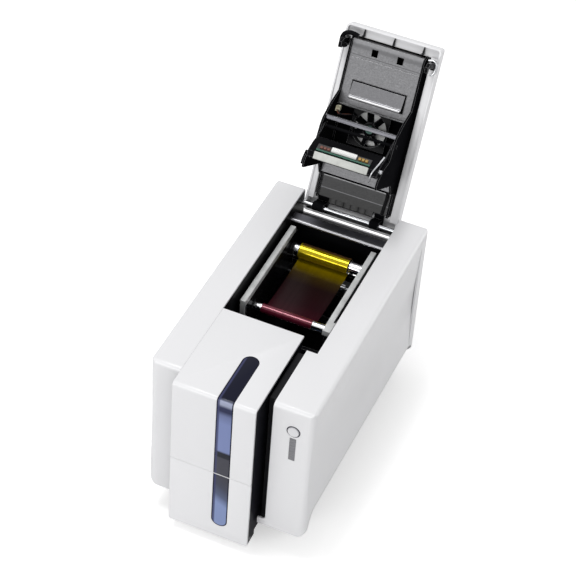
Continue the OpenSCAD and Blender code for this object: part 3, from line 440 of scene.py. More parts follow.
def metal(name, colour, dark, rough, amount=0.5, streak=900.0, stretch=(0.03, 1, 1), bump=0.08,
          mottle=0.0, edge=0.35, wear_and_highlight=None, shade=None):
    tree, shader = new_material(name)
    box = add(tree, "Group", {
        "Color": colour, "Dark": dark, "Streak Amount": amount, "Roughness": rough,
        "Streak Scale": streak, "Stretch": stretch, "Mottle": mottle}, node_tree=drawn_metal)
    dress(tree, shader, box, bump, edge, wear_and_highlight, shade)
    fill(shader, {"Metallic": 1.0})


# %% [markdown]
# ## The table of paints
# Every surface of the printer has its own entry, so that a part can be matched to the photograph
# without touching the others. The blacks have almost no gloss: in a white studio even a small
# sheen would turn them grey. Many parts get a lighter colour along their edges, partly wear and
# partly painted highlight.

# %% Materials
# Name, colour, stain or streak colour, roughness, and how strong the stains or streaks are.
moulded("white_shell", (0.80, 0.80, 0.815), (0.72, 0.72, 0.73), 0.36, 0.1, 3200, 0.04, 0.12,
        edge=0.6)
moulded("rear_grey", (0.70, 0.70, 0.72), (0.6, 0.6, 0.61), 0.45, 0.15, edge=0.5)
moulded("base_black", (0.007, 0.007, 0.009), (0.02, 0.02, 0.021), 0.5, 0.3, 1800, 0.2, shine=0.12,
        wear_and_highlight=(0.05, 0.05, 0.055))
moulded("foot_rubber", (0.012, 0.012, 0.012), (0.04, 0.04, 0.038), 0.85, 0.4, 1200, 0.3, shine=0.2)
moulded("black_sheet", (0.004, 0.004, 0.005), (0.014, 0.014, 0.015), 0.32, 0.4, 1600, 0.1,
        shine=0.03, edge=0.7, wear_and_highlight=(0.16, 0.16, 0.17))
# The rear bar's rolled front edge gets a painted highlight.
metal("plain_sheet", (0.14, 0.14, 0.155), (0.05, 0.05, 0.06), 0.28, mottle=0.15,
        shade=rear_bar_lip_highlight)
metal("bar_steel", (0.10, 0.10, 0.11), (0.035, 0.035, 0.04), 0.24, 0.7, mottle=0.2, edge=0.6,
        wear_and_highlight=(0.45, 0.45, 0.47))
metal("lid_sheet", (0.135, 0.135, 0.14), (0.05, 0.05, 0.052), 0.34, 0.3, 700, (0.5, 1, 1), 0.15,
        0.5, wear_and_highlight=(0.45, 0.45, 0.46), shade=shade_plates)
metal("flap_steel", (0.22, 0.22, 0.23), (0.10, 0.10, 0.105), 0.3, 0.35, 700, (0.5, 1, 1), 0.15, 0.4,
        wear_and_highlight=(0.6, 0.6, 0.61))
# The flap's rolled edge: the same steel painted lighter, as painted highlight.
metal("flap_bright", (0.50, 0.50, 0.51), (0.3, 0.3, 0.31), 0.38, 0.5, 1200, edge=0)
metal("chrome_shaft", (0.62, 0.63, 0.65), (0.22, 0.23, 0.25), 0.22, 0.4, 1500, edge=0)
moulded("frame_grey", (0.008, 0.008, 0.012), (0.03, 0.03, 0.036), 0.35, 0.3, 1800, 0.15, shine=0.15,
        wear_and_highlight=(0.08, 0.085, 0.11))
moulded("roller_rubber", (0.012, 0.012, 0.013), (0.04, 0.04, 0.04), 0.6, 0.4, 1500, 0.3, shine=0.3)
moulded("cleaning_blue", (0.05, 0.15, 0.38), (0.1, 0.2, 0.45), 0.35, 0.3)
moulded("belt_rubber", (0.012, 0.012, 0.012), (0.04, 0.04, 0.04), 0.8, 0.3)
metal("motor_metal", (0.33, 0.33, 0.35), (0.2, 0.2, 0.21), 0.4)
metal("gear_brass", (0.72, 0.50, 0.20), (0.5, 0.33, 0.12), 0.28)
moulded("cassette_grey", (0.68, 0.69, 0.69), (0.28, 0.285, 0.28), 0.3, 0.5, 900, 0.3, 0.2, edge=0.8,
        patch=60.0)
moulded("black_plastic", (0.004, 0.004, 0.005), (0.014, 0.014, 0.015), 0.2, 0.35, 1500, 0.15,
        shine=0.03, edge=0.9, wear_and_highlight=(0.30, 0.30, 0.31))
moulded("cheek_black", (0.005, 0.005, 0.006), (0.02, 0.02, 0.021), 0.4, 0.35, 1500, 0.2, shine=0.0,
        edge=0.9, wear_and_highlight=(0.30, 0.30, 0.31))
moulded("board_green", (0.008, 0.07, 0.045), (0.02, 0.13, 0.08), 0.3, 0.5, 600, 0.1, 0.2)
moulded("head_board", (0.010, 0.085, 0.055), (0.03, 0.16, 0.10), 0.3, 0.5, 600, 0.1, 0.2,
        shade=shade_board)
moulded("socket_black", (0.012, 0.012, 0.012), (0.03, 0.03, 0.03), 0.4, shine=0.3)
metal("socket_metal", (0.6, 0.61, 0.63), (0.4, 0.41, 0.42), 0.3)
moulded("button_grey", (0.74, 0.74, 0.76), (0.6, 0.6, 0.62), 0.2, 0.1, 2500, 0.03, 0.4)
metal("ring_chrome", (0.12, 0.12, 0.14), (0.03, 0.03, 0.035), 0.14, 0.3)
moulded("bar_lens", (0.20, 0.20, 0.215), (0.10, 0.10, 0.11), 0.3, 0.3, 400, 0.2)
moulded("strip_ceramic", (0.60, 0.61, 0.58), (0.30, 0.31, 0.29), 0.2, 0.4, patch=90.0)
metal("spring_steel", (0.6, 0.61, 0.63), (0.35, 0.35, 0.36), 0.2)
moulded("cream_nylon", (0.90, 0.87, 0.66), (0.7, 0.65, 0.4), 0.4, 0.2)
moulded("white_nylon", (0.90, 0.90, 0.89), (0.5, 0.5, 0.48), 0.35, 0.25)
moulded("part_brown", (0.16, 0.05, 0.03), (0.05, 0.02, 0.012), 0.4, 0.5, 900)
moulded("hub_green", (0.012, 0.10, 0.07), (0.3, 0.42, 0.38), 0.3, 0.6, 900, patch=120.0)
moulded("part_gold", (0.45, 0.28, 0.06), (0.2, 0.1, 0.02), 0.35, 0.5, 900)

# %% [markdown]
# ## The ribbon's colours
# The two spools are one solid each in the engineering model: a chrome core, black rings and the
# wound film. A mask along the spool's length gives each stretch its own colour and turns the
# metal off where the film is. The film itself is thin, coloured and glossy, so its gloss matters
# more than its grain. Its colour follows a ramp along its run from the supply to the take-up roll.

# %% Spool materials
FILM_LEFT, FILM_RIGHT = -42.0, 24.0


def film_finish(tree, colour, dark, amount, rough, streak):
    """The drawn-metal group with its streaks running around the roll."""
    return add(tree, "Group", {
        "Color": colour, "Dark": dark, "Streak Amount": amount, "Roughness": rough,
        "Streak Scale": streak, "Stretch": (1, 0.02, 0.02), "Mottle": 0.1}, node_tree=drawn_metal)


def spool_material(name, film, film_dark, foil, rings):
    """Chrome at the ends and film between; foil says how metallic the film looks."""
    tree, shader = new_material(name)
    on_film = zone(tree, (1, 0, 0), FILM_LEFT, FILM_RIGHT)
    box = film_finish(tree, film, film_dark, 0.8, 0.06, 420.0)
    colour = blend_colour(tree, on_film, (0.78, 0.79, 0.81), box.outputs["Color"])
    metallic = maths(tree, "MULTIPLY_ADD", on_film, foil - 1.0, 1.0)
    for low, high in rings:
        ring = zone(tree, (1, 0, 0), low, high)
        colour = blend_colour(tree, ring, colour, (0.01, 0.01, 0.01))
        metallic = maths(tree, "MULTIPLY", metallic, maths(tree, "SUBTRACT", 1.0, ring))
    fill(shader, {"Base Color": colour, "Metallic": metallic,
                  "Roughness": box.outputs["Roughness"]})


spool_material("ribbon_yellow", (0.60, 0.47, 0.004), (0.20, 0.14, 0.0), 0.7,
               [(-53, -48.5), (42.5, 47), (-43.2, -42), (24, 25.2)])
spool_material("ribbon_pink", (0.20, 0.02, 0.045), (0.06, 0.005, 0.012), 0.3,
               [(-53, -51.5), (45, 47)])

# %% Film material
def own_xyz(tree):
    """The x, y and z of the place on the piece."""
    split = add(tree, "SeparateXYZ", {"Vector": own_place(tree)})
    return [split.outputs[axis] for axis in "XYZ"]


def map_range(tree, value, low, high, kind="LINEAR"):
    """Brings a value between two limits to 0 to 1."""
    return add(tree, "MapRange", {"Value": value, "From Min": low, "From Max": high},
               interpolation_type=kind).outputs[0]


def colour_ramp(tree, factor, stops, full=1.0):
    """A colour for each place, given as (place, colour) with places from 0 to full."""
    ramp = add(tree, "ValToRGB", {"Fac": factor})
    elements = ramp.color_ramp.elements
    while len(elements) < len(stops):
        elements.new(0.5)
    for element, (place, colour) in zip(elements, stops):
        element.position = place / full
        element.color = (*colour, 1)
    return ramp.outputs["Color"]


def film_material():
    """Yellow where the film leaves the supply roll, then brown, then the dark red used film."""
    tree, shader = new_material("ribbon_dark")
    film_lo, film_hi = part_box("ribbon_film")
    along = map_range(tree, own_xyz(tree)[1], film_lo.y, film_hi.y)
    ramp = colour_ramp(tree, along, [
        (0.0, (0.06, 0.006, 0.014)), (0.3, (0.025, 0.005, 0.008)), (0.62, (0.016, 0.005, 0.005)),
        (0.78, (0.04, 0.022, 0.002)), (0.92, (0.20, 0.14, 0.0)), (1.0, (0.32, 0.24, 0.0))])
    box = film_finish(tree, (1, 1, 1), (0.45, 0.45, 0.45), 0.7, 0.16, 300.0)
    colour = blend_colour(tree, 1.0, ramp, box.outputs["Color"], "MULTIPLY")
    fill(shader, {"Base Color": colour, "Roughness": box.outputs["Roughness"],
                  "Specular IOR Level": 0.08})


film_material()

# %% [markdown]
# ## The tinted windows
# Each cover has a strip of blue-tinted plastic let into it. Its colours are painted: nearly black
# where the shaded card well would show through it, blue where it would reflect the white studio,
# and pale bands of painted reflection at the top bend. The rim is painted darker, standing for the
# look into the plastic's thickness. One material is laid out along the height of the strip, with
# the rim worked out from the distance to the strip's outline.

# %% Window material
window_lo, window_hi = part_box("feeder_window")
WINDOW_X = (window_lo.x + window_hi.x) / 2
WINDOW_R = (window_hi.x - window_lo.x) / 2
WINDOW_TOP = 245
top_tip_y = window_hi.y - WINDOW_R
low_tip_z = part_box("hopper_window")[0].z + WINDOW_R


def window_material():
    """Painted shade and reflections along the strip's height, in millimetres above the table, and a
    painted dark rim.
    """
    tree, shader = new_material("window_blue")
    x, y, z = own_xyz(tree)
    across = maths(tree, "SUBTRACT", x, WINDOW_X)
    past_top = maths(tree, "MAXIMUM", maths(tree, "SUBTRACT", y, top_tip_y), 0.0)
    past_low = maths(tree, "MAXIMUM", maths(tree, "SUBTRACT", low_tip_z, z), 0.0)
    past = maths(tree, "ADD", past_top, past_low)
    reach = maths(tree, "SQRT", maths(tree, "ADD", maths(tree, "MULTIPLY", across, across),
                                      maths(tree, "MULTIPLY", past, past)))
    rim = map_range(tree, reach, WINDOW_R - 1.9 * MM, WINDOW_R - 1.0 * MM, "SMOOTHSTEP")
    slant = maths(tree, "MULTIPLY", zone(tree, (0, 0, 1), 0, 122), 0.55)
    height = map_range(tree, maths(tree, "MULTIPLY_ADD", across, slant, z), 0.0, WINDOW_TOP * MM)
    # Painted light and shade: dark where the card well shows through, blue and pale bands as
    # painted reflections, and a darker stripe on the left.
    navy, ink, grey = (0.008, 0.009, 0.022), (0.02, 0.022, 0.03), (0.062, 0.062, 0.078)
    blue, bright, reflected_pale = (0.205, 0.25, 0.46), (0.23, 0.29, 0.50), (0.34, 0.37, 0.50)
    ramp = colour_ramp(tree, height, [
        (30, bright), (72, bright), (86, (0.10, 0.12, 0.20)), (102, (0.065, 0.07, 0.10)),
        (119, grey), (151, grey), (153, ink), (160, ink), (163, blue), (208, blue),
        (221, (0.15, 0.18, 0.33)), (228, (0.030, 0.034, 0.08)), (234, (0.035, 0.04, 0.09)),
        (238.5, reflected_pale), (243.2, reflected_pale), (244.4, (0.02, 0.022, 0.05)), (245, navy)], WINDOW_TOP)
    left = zone(tree, (1, 0, 0), WINDOW_X / MM - 9.2, WINDOW_X / MM - 6.4, 1.2)
    shaded = blend_colour(tree, maths(tree, "MULTIPLY", left, 0.85), ramp, (0.05, 0.055, 0.13))
    patch = noise(tree, own_place(tree), 40.0, 3)
    fill(shader, {"Base Color": blend_colour(tree, rim, shaded, (0.008, 0.008, 0.02)),
                  "Roughness": maths(tree, "MULTIPLY_ADD", patch, 0.06, 0.05),
                  "Specular IOR Level": 0.1})


window_material()

# %% [markdown]
# ## Painting the engineering solids
# Each solid's record names its kind of material, and the table has a paint of that name. A few
# solids look different from others of their kind, and those get a paint of their own.

# %% Paint every node
own_paint = {"lid_frame": "cheek_black", "head_bracket": "cheek_black",
             "lid_cross_bar": "bar_steel", "lid_flap": "flap_steel", "head_board": "head_board"}
slot_of = {row["node"]: row["material_slot"] for row in frame["record"]["subparts"]}
for node, slot in slot_of.items():
    body = nodes[node]
    body.data.materials.clear()
    body.data.materials.append(paint[own_paint.get(node, slot)])
print("Painted", len(slot_of), "nodes")

# %% [markdown]
# ## Helpers for modelling
# Pieces are made as by hand: a primitive at its size and place, shaped in edit mode, softened at
# its edges and then handed to the body that it moves with. Faces are picked by their place and
# direction, in millimetres. Where the engineering solid has the true outline, a merged copy of it
# is shaped further and replaces it.

# %% Modelling helpers
STRAIGHT = 0.9      # how nearly a face or an edge has to follow an axis to be picked


def box_mm(node):
    """Two opposite corners of a node's box, in millimetres."""
    return [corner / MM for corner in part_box(node)]


def only(piece):
    deselect()
    piece.select_set(True)
    bpy.context.view_layer.objects.active = piece


def settle(piece):
    """Ends edit mode and puts the object at the origin, with its place in its mesh."""
    only(piece)
    bpy.ops.object.transform_apply(location=True, rotation=True, scale=True)


def start_block(name, low, high):
    """A cube primitive between two corners in millimetres."""
    deselect()
    bpy.ops.mesh.primitive_cube_add(size=1, location=[(a + b) / 2 * MM for a, b in zip(low, high)])
    piece = bpy.context.object
    piece.name = name
    piece.scale = [(b - a) * MM for a, b in zip(low, high)]
    settle(piece)
    return piece


def start_rod(name, radius, low, high, axis, sides):
    """A cylinder primitive from one end to the other; both ends lie on one axis."""
    deselect()
    turn = {"X": (0, math.pi / 2, 0), "Y": (math.pi / 2, 0, 0), "Z": (0, 0, 0)}[axis]
    reach = (Vector(high) - Vector(low)).length
    bpy.ops.mesh.primitive_cylinder_add(
        vertices=sides, radius=radius * MM, depth=reach * MM, rotation=turn,
        location=[(a + b) / 2 * MM for a, b in zip(low, high)])
    piece = bpy.context.object
    piece.name = name
    settle(piece)
    return piece


def edit(piece, kind="FACE"):
    only(piece)
    bpy.ops.object.mode_set(mode="EDIT")
    bpy.ops.mesh.select_mode(type=kind)
    bpy.ops.mesh.select_all(action="DESELECT")
    return bmesh.from_edit_mesh(piece.data)


def pick_faces(piece, test):
    mesh = edit(piece)
    for face in mesh.faces:
        face.select_set(bool(test(face.calc_center_median() / MM, face.normal)))
    bmesh.update_edit_mesh(piece.data)


def pick_edges(piece, test):
    mesh = edit(piece, "EDGE")
    for edge in mesh.edges:
        a, b = edge.verts[0].co / MM, edge.verts[1].co / MM
        edge.select_set(bool(test((a + b) / 2, (b - a).normalized())))
    bmesh.update_edit_mesh(piece.data)


def pick_facing(piece, way, also=lambda mid: True):
    """Picks the faces that look along a way such as "-Z" and whose middle passes a second test."""
    axis, sign = "XYZ".index(way[1]), {"+": 1, "-": -1}[way[0]]
    pick_faces(piece, lambda mid, out: out[axis] * sign > STRAIGHT and also(mid))


def pick_running(piece, axis):
    """Picks the edges that run along one axis."""
    pick_edges(piece, lambda mid, way: abs(way["XYZ".index(axis)]) > STRAIGHT)


def inset(thickness, depth=0.0, each=False):
    bpy.ops.mesh.inset(thickness=thickness * MM, depth=depth * MM, use_individual=each)


def extrude(x, y, z):
    bpy.ops.mesh.extrude_region_move(TRANSFORM_OT_translate={"value": (x * MM, y * MM, z * MM)})


def modify(piece, kind, **settings):
    """Adds a modifier to the active piece, sets it and applies it."""
    modifier = piece.modifiers.new(kind, kind)
    for label, value in settings.items():
        setattr(modifier, label, value)
    bpy.ops.object.modifier_apply(modifier=modifier.name)


def thicken(sheet, thickness, offset=-1.0):
    """Ends edit mode and gives a flat sheet a thickness in millimetres."""
    bpy.ops.object.mode_set(mode="OBJECT")
    modify(sheet, "SOLIDIFY", thickness=thickness * MM, offset=offset)


def soften(piece, width, segments=2, angle=30):
    """Rounds every sharp edge by a bevel of that width in millimetres."""
    only(piece)
    modify(piece, "BEVEL", width=width * MM, segments=segments, limit_method="ANGLE",
           angle_limit=math.radians(angle))


def finish_piece(piece, body, slot, finish=None, smooth=40):
    settle(piece)
    bpy.ops.object.shade_smooth_by_angle(angle=math.radians(smooth))
    piece.data.materials.clear()
    piece.data.materials.append(paint[finish or slot])
    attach(piece, body)
    print(piece.name, len(piece.data.polygons), "faces on", body)


def merged_copy(node, name):
    """A copy of an engineering solid with its loose triangles merged, to be shaped further."""
    piece = bpy.data.objects.new(name, nodes[node].data.copy())
    bpy.context.collection.objects.link(piece)
    only(piece)
    bpy.ops.mesh.customdata_custom_splitnormals_clear()
    bpy.ops.object.mode_set(mode="EDIT")
    bpy.ops.mesh.select_all(action="SELECT")
    bpy.ops.mesh.remove_doubles(threshold=0.00001)
    bpy.ops.mesh.dissolve_limited(angle_limit=math.radians(0.5))
    bpy.ops.object.mode_set(mode="OBJECT")
    return piece


def intersect(piece, cutter):
    """Keeps what two solids share, and removes the cutter."""
    only(piece)
    modify(piece, "BOOLEAN", operation="INTERSECT", solver="EXACT", object=cutter)
    bpy.data.objects.remove(cutter)


def remake(node, name, body, slot, width=0.0, shape=None, segments=3, angle=30, finish=None,
           smooth=40):
    """A copy that replaces an engineering solid, shaped and with its edges rounded by width."""
    piece = merged_copy(node, name)
    if shape:
        shape(piece)
    if width:
        soften(piece, width, segments, angle)
    finish_piece(piece, body, slot, finish, smooth)
    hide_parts(node)
    return piece


# %% [markdown]
# ## The white casing
# The real casing is injection moulded, so no edge of it is sharp: each one shows a soft bright
# line. The engineering solids have the true outlines, so each is copied and merged, its sharp
# edges are rounded by a bevel, and the lower outer corners of the side shells and of the front
# door get the broad round that the mould gives them.

# %% Side shells and front covers
def round_low_corners(piece, node, radius, sides):
    """Rounds the lower edges that run front to back, at the named sides, by an intersection."""
    low, high = box_mm(node)
    spare = 2       # the cutter reaches this far past the sides that stay as they are
    left = low.x - (0 if "left" in sides else spare)
    right = high.x + (0 if "right" in sides else spare)
    cutter = start_block("corner cutter", (left, low.y - spare, low.z),
                         (right, high.y + spare, high.z + spare))
    pick_edges(cutter, lambda mid, way: abs(way.y) > STRAIGHT and mid.z < low.z + 0.1 and (
        ("left" in sides and mid.x < left + 0.1) or ("right" in sides and mid.x > right - 0.1)))
    bpy.ops.mesh.bevel(offset=radius * MM, segments=8)
    bpy.ops.object.mode_set(mode="OBJECT")
    intersect(piece, cutter)


for node, name, body, radius, sides in (
        ("left_panel", "left_shell", "chassis", 9, ["left"]),
        ("right_panel", "right_shell", "chassis", 9, ["right"]),
        ("feeder_cover", "feeder_cover_shell", "feeder_door", 0, []),
        ("hopper_cover", "hopper_door_shell", "hopper_door", 6, ["left", "right"])):
    remake(node, name, body, "white_shell", 0.8,
           (lambda piece: round_low_corners(piece, node, radius, sides)) if radius else None)

# %% [markdown]
# ## Lips behind the seams
# Where two mouldings meet, one of them carries a lip that closes the gap, so that no light or dust
# gets in. Here one lip closes the seam beside the feeder, and another the split between the two
# front doors. Each is a plain block with small rounds, placed from the cover that it meets.

# %% Lips
def lip(name, low, high, width, body):
    piece = start_block(name, low, high)
    soften(piece, width)
    finish_piece(piece, body, "white_shell")


low, high = box_mm("feeder_cover")
lip("seam_lip", (low.x - 1.25, low.y + 22.8, high.z - 5), (low.x - 0.04, high.y, high.z - 0.1),
    0.12, "chassis")
low, high = box_mm("hopper_cover")
lip("split_lip", (low.x + 1, low.y + 0.15, high.z - 2), (high.x - 1, low.y + 1.6, high.z + 0.8),
    0.25, "hopper_door")

# %% [markdown]
# ## Windows
# Each window is a strip of tinted plastic that fills its opening nearly flush with the cover. Its
# copy gets a smaller round than the covers have, as a part that is let in does.

# %% Windows
remake("feeder_window", "feeder_glass", "feeder_door", "window_blue", 0.45)
remake("hopper_window", "hopper_glass", "hopper_door", "window_blue", 0.45)

# %% [markdown]
# ## Power button and status bar
# The button is a shallow dished cap in a polished ring. The bar below it is a ribbed light pipe:
# a block whose front is divided into strips, with every second strip set back.

# %% Button and bar
low, high = box_mm("power_button")
mid_x, mid_z = (low.x + high.x) / 2, (low.z + high.z) / 2
cap = start_rod("button_face", 6.5, (mid_x, low.y - 0.7, mid_z), (mid_x, low.y + 0.2, mid_z),
                "Y", 64)
pick_facing(cap, "-Y")
inset(0.5, 0.25)
inset(0.7, -0.12)
inset(2.4, -0.22)
soften(cap, 0.12)
finish_piece(cap, "button", "button_grey")

remake("button_ring", "polished_ring", "chassis", "ring_chrome", 0.5)

STRIPS = 15
low, high = box_mm("indicator_bar")
bar = start_block("status_bar", (low.x, low.y - 0.2, low.z), high)
pick_running(bar, "Z")
bpy.ops.mesh.subdivide(number_cuts=STRIPS - 1)
step = (high.z - low.z) / STRIPS
pick_facing(bar, "-Y", lambda mid: int((mid.z - low.z) / step) % 2 == 1)
inset(0.35, -0.5, each=True)
soften(bar, 0.12, 1)
finish_piece(bar, "chassis", "bar_lens")
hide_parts("indicator_bar")

# %% [markdown]
# ## Turned and rolled parts
# Shafts, rolls and rolled edges reflect the lamps in one clean line each, which needs smooth
# shading. Their engineering solids are copied and merged, their rims get a small round, and the
# copies are shaded smooth. Only edges sharper than a facet of the round are left sharp.

# %% Smooth copies
FACET = 16
for node, rim in (("hinge_axle", 0.3), ("rear_cross_bar", 0), ("supply_spool", 0.25),
                  ("takeup_spool", 0.25), ("lid_cross_bar", 0.4), ("catch_studs", 0.3)):
    remake(node, node.replace("_", "_turned_", 1), nodes[node]["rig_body"], slot_of[node], rim,
           segments=2, angle=50, finish=own_paint.get(node), smooth=FACET)

# %% [markdown]
# ## Ribbon cassette
# The cassette's two rails are moulded with generous rounds. Between the spools hangs the film, a
# sheet thinner than paper: a grid is laid at the rolls' undersides and each row is lowered to the
# slack curve. When the lid shuts, the print head presses the film down to the cards' level; here
# the film keeps its slack curve. A loose outer turn of film stands off the supply roll.

# %% Cassette rails
remake("cassette_frame", "cassette_rails", "chassis", "cassette_grey", 1.5)

# %% Film
film_lo, film_hi = box_mm("ribbon_film")
takeup_mid, supply_mid = (sum(box_mm(spool), Vector()) / 2
                          for spool in ("takeup_spool", "supply_spool"))
SUPPLY_R, TAKEUP_R = 10, 6
FILM_GAP, FILM_SAG = 0.45, 2.5
from_z, to_z = supply_mid.z - SUPPLY_R - FILM_GAP, takeup_mid.z - TAKEUP_R - FILM_GAP
deselect()
bpy.ops.mesh.primitive_grid_add(x_subdivisions=6, y_subdivisions=24, size=1)
web = bpy.context.object
web.name = "ribbon_web"
web.scale = ((film_hi.x - film_lo.x) * MM, (film_hi.y - film_lo.y) * MM, 1)
web.location = ((film_hi.x + film_lo.x) / 2 * MM, (film_hi.y + film_lo.y) / 2 * MM, 0)
settle(web)
mesh = edit(web, "VERT")
for row_y in sorted({round(point.co.y / MM, 3) for point in mesh.verts}):
    mesh = bmesh.from_edit_mesh(web.data)
    for point in mesh.verts:
        point.select_set(abs(point.co.y / MM - row_y) < 0.01)
    mesh.select_flush(True)
    bmesh.update_edit_mesh(web.data)
    along = (film_hi.y - row_y) / (film_hi.y - film_lo.y)
    drop = from_z + (to_z - from_z) * along - 4 * FILM_SAG * along * (1 - along)
    bpy.ops.transform.translate(value=(0, 0, drop * MM))
thicken(web, 0.15, 0)
finish_piece(web, "chassis", "ribbon_dark")
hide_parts("ribbon_film")
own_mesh(web)
print("Film from z", round(from_z, 1), "to", round(to_z, 1), "mm")

# %% Loose outer turn
TURN_STEPS = ((12, 2.0), (26, 2.2), (42, 2.6), (60, 2.8), (82, 3.0), (106, 3.0), (132, 3.0))
deselect()
bpy.ops.mesh.primitive_plane_add(size=1, location=(0, 0, 0))
turn = bpy.context.object
turn.name = "loose_turn"
turn.scale = ((FILM_RIGHT - FILM_LEFT - 2) * MM, 1 * MM, 1)
turn.location = ((FILM_RIGHT + FILM_LEFT + 3) / 2 * MM, (supply_mid.y + 0.5) * MM,
                 (supply_mid.z + 10.5) * MM)
settle(turn)
mesh = edit(turn, "EDGE")
for edge in mesh.edges:
    edge.select_set(all(point.co.y > (supply_mid.y + 0.5) * MM for point in edge.verts))
bmesh.update_edit_mesh(turn.data)
for down, reach in TURN_STEPS:
    extrude(0, reach * math.cos(math.radians(down)), -reach * math.sin(math.radians(down)))
thicken(turn, 0.12)
tree, shader = new_material("film_turn")
box = film_finish(tree, (0.12, 0.06, 0.02), (0.05, 0.02, 0.01), 0.7, 0.12, 300.0)
fill(shader, {"Base Color": box.outputs["Color"], "Roughness": box.outputs["Roughness"],
              "Alpha": 0.62})
finish_piece(turn, "chassis", "ribbon_dark", "film_turn")

# %% [markdown]
# ## The lid
# Pieces of the lid are modelled as if it were shut: x to the right, s forward of the axle and t
# below it. Each is then swung open with the lid. The shell is a rounded copy of the engineering
# solid, and black trim covers its hinge end, where the real lid shows no white.

# %% Lid shell and trim
def lid_block(name, x, s, t):
    return start_block(name, (x[0], -s[1], -t[1]), (x[1], -s[0], -t[0]))


def finish_lid_piece(piece, slot, finish=None, body="lid", smooth=40):
    """Swings a piece that was modelled with the lid shut open with the lid, and finishes it."""
    settle(piece)
    piece.matrix_world = lid_turn
    finish_piece(piece, body, slot, finish, smooth)


remake("lid_shell", "lid_outer", "lid", "white_shell", 0.7)

for name, x in (("hinge_trim_left", (-58.5, -50)), ("hinge_trim_middle", (-34, 26.5)),
                ("hinge_trim_right", (40, 58.5))):
    trim = lid_block(name, x, (-5.9, -5.2), (-13.5, -0.4))
    pick_facing(trim, "-Z")
    extrude(0, 0, -0.3)
    pick_facing(trim, "+Y", lambda mid: mid.z < 0.42)
    extrude(0, 0.2, 0)
    soften(trim, 0.1, 1)
    finish_lid_piece(trim, "black_plastic")

# %% [markdown]
# ## Lid lining
# Inside the open lid, white ledges of the moulding run along both rims and across the free end,
# where three short black teeth stand. Black channels separate the ledges from the steel plates.
# Each is a block with one face drawn out or set in, because more would not be seen.

# %% Ledges, teeth and channels
ledge = lid_block("lid_end_ledge", (-59.6, 59.6), (220.8, 232.4), (-5.2, -4.0))
pick_facing(ledge, "-Y")
extrude(0, -0.4, -1.2)
soften(ledge, 0.4)
finish_lid_piece(ledge, "white_shell")
for number, x in enumerate((-37.6, 1.2, 39.4)):
    tooth = lid_block(f"end_tooth_{number + 1}", (x - 0.9, x + 0.9), (221.6, 226), (-4.6, 0.6))
    pick_facing(tooth, "-Y")
    extrude(0, -5.2, 0)
    bpy.ops.transform.resize(value=(0.45, 1, 0.5))
    soften(tooth, 0.2)
    finish_lid_piece(tooth, "black_plastic")
for side, x, inward in (("left", (-59.6, -52.4), 1), ("right", (50.6, 59.6), -1)):
    ledge = lid_block(f"lid_ledge_{side}", x, (9, 221.5), (-2.6, -1.4))
    pick_facing(ledge, "+X" if inward > 0 else "-X")
    extrude(0.6 * inward, 0, 1.4)
    soften(ledge, 0.4)
    finish_lid_piece(ledge, "white_shell")
for side, x in (("left", (-52.0, -46.6)), ("right", (43.4, 50.4))):
    channel = lid_block(f"lid_channel_{side}", x, (16, 219.5), (-4.2, -3.2))
    pick_facing(channel, "-Z")
    inset(0.9, -0.6)
    soften(channel, 0.15, 1)
    finish_lid_piece(channel, "black_plastic")

# %% Foot plate at the hinge
FOOT_LEFT, FOOT_STEP = -33.5, 9.92
foot = lid_block("hinge_foot_plate", (FOOT_LEFT, 26), (5.8, 14.4), (-9, -8))
pick_facing(foot, "-Z")
bpy.ops.mesh.subdivide(number_cuts=5)
pick_facing(foot, "-Z", lambda mid: int((mid.x - FOOT_LEFT) / FOOT_STEP) % 2 == 0)
inset(0.6, 0.5)
soften(foot, 0.15, 1)
finish_lid_piece(foot, "lid_sheet")

# %% [markdown]
# ## The flap's rolled edge
# The sprung flap ends in a bright rolled edge, and a dark gap shows all around it. A thin black
# plate behind the flap, showing in a margin all around it, is painted shadow for that gap. A slim
# rod with set-in ends gives the roll, in steel painted lighter than the flap's as painted
# highlight.

# %% Gap and roll
FLAP_T = 6.2
shadow_plate = lid_block("flap_shadow_gap", (-36.6, 34.8), (145.6, 169.9), (FLAP_T, FLAP_T + 0.7))
pick_facing(shadow_plate, "-Z")
inset(1.0, -0.3)
finish_lid_piece(shadow_plate, "black_plastic")
roll = start_rod("flap_roll", 1.9, (-34, -149.2, -12.6), (32, -149.2, -12.6), "X", 32)
pick_faces(roll, lambda mid, out: abs(out.x) > STRAIGHT)
inset(0.5, 0.25)
finish_lid_piece(roll, "lid_sheet", "flap_bright")

# %% [markdown]
# ## Fan
# The fan's hub carries a plain disc, and behind its blades the pale inside of the shell shows. A
# thin white ring, fixed to the lid behind the blades and nearer to them than the shell, stands in
# for that bright inside: painted light where the real shell would lie in shade.

# %% Fan details
FAN_X, FAN_S = -3.0, 113.0
ground = start_rod("fan_lit_backing", 21.6, (FAN_X, -FAN_S, 10.5), (FAN_X, -FAN_S, 11.1), "Z", 64)
pick_faces(ground, lambda mid, out: abs(out.z) > STRAIGHT)
inset(12.2)
bpy.ops.mesh.bridge_edge_loops()
bpy.ops.object.mode_set(mode="OBJECT")
soften(ground, 0.12, 1)
finish_lid_piece(ground, "white_shell", "white_nylon")

disc = start_rod("hub_disc", 5.2, (FAN_X, -FAN_S, 2.1), (FAN_X, -FAN_S, 2.55), "Z", 48)
pick_facing(disc, "-Z")
inset(1.1, -0.12)
inset(1.6, 0.1)
soften(disc, 0.08, 1)
finish_lid_piece(disc, "board_green", "hub_green", body="fan")

# %% [markdown]
# ## Print head
# The head's board carries a white connector with a row of slots, and small coloured parts at both
# sides of it. One brown part and one golden part are modelled and copied along the board.

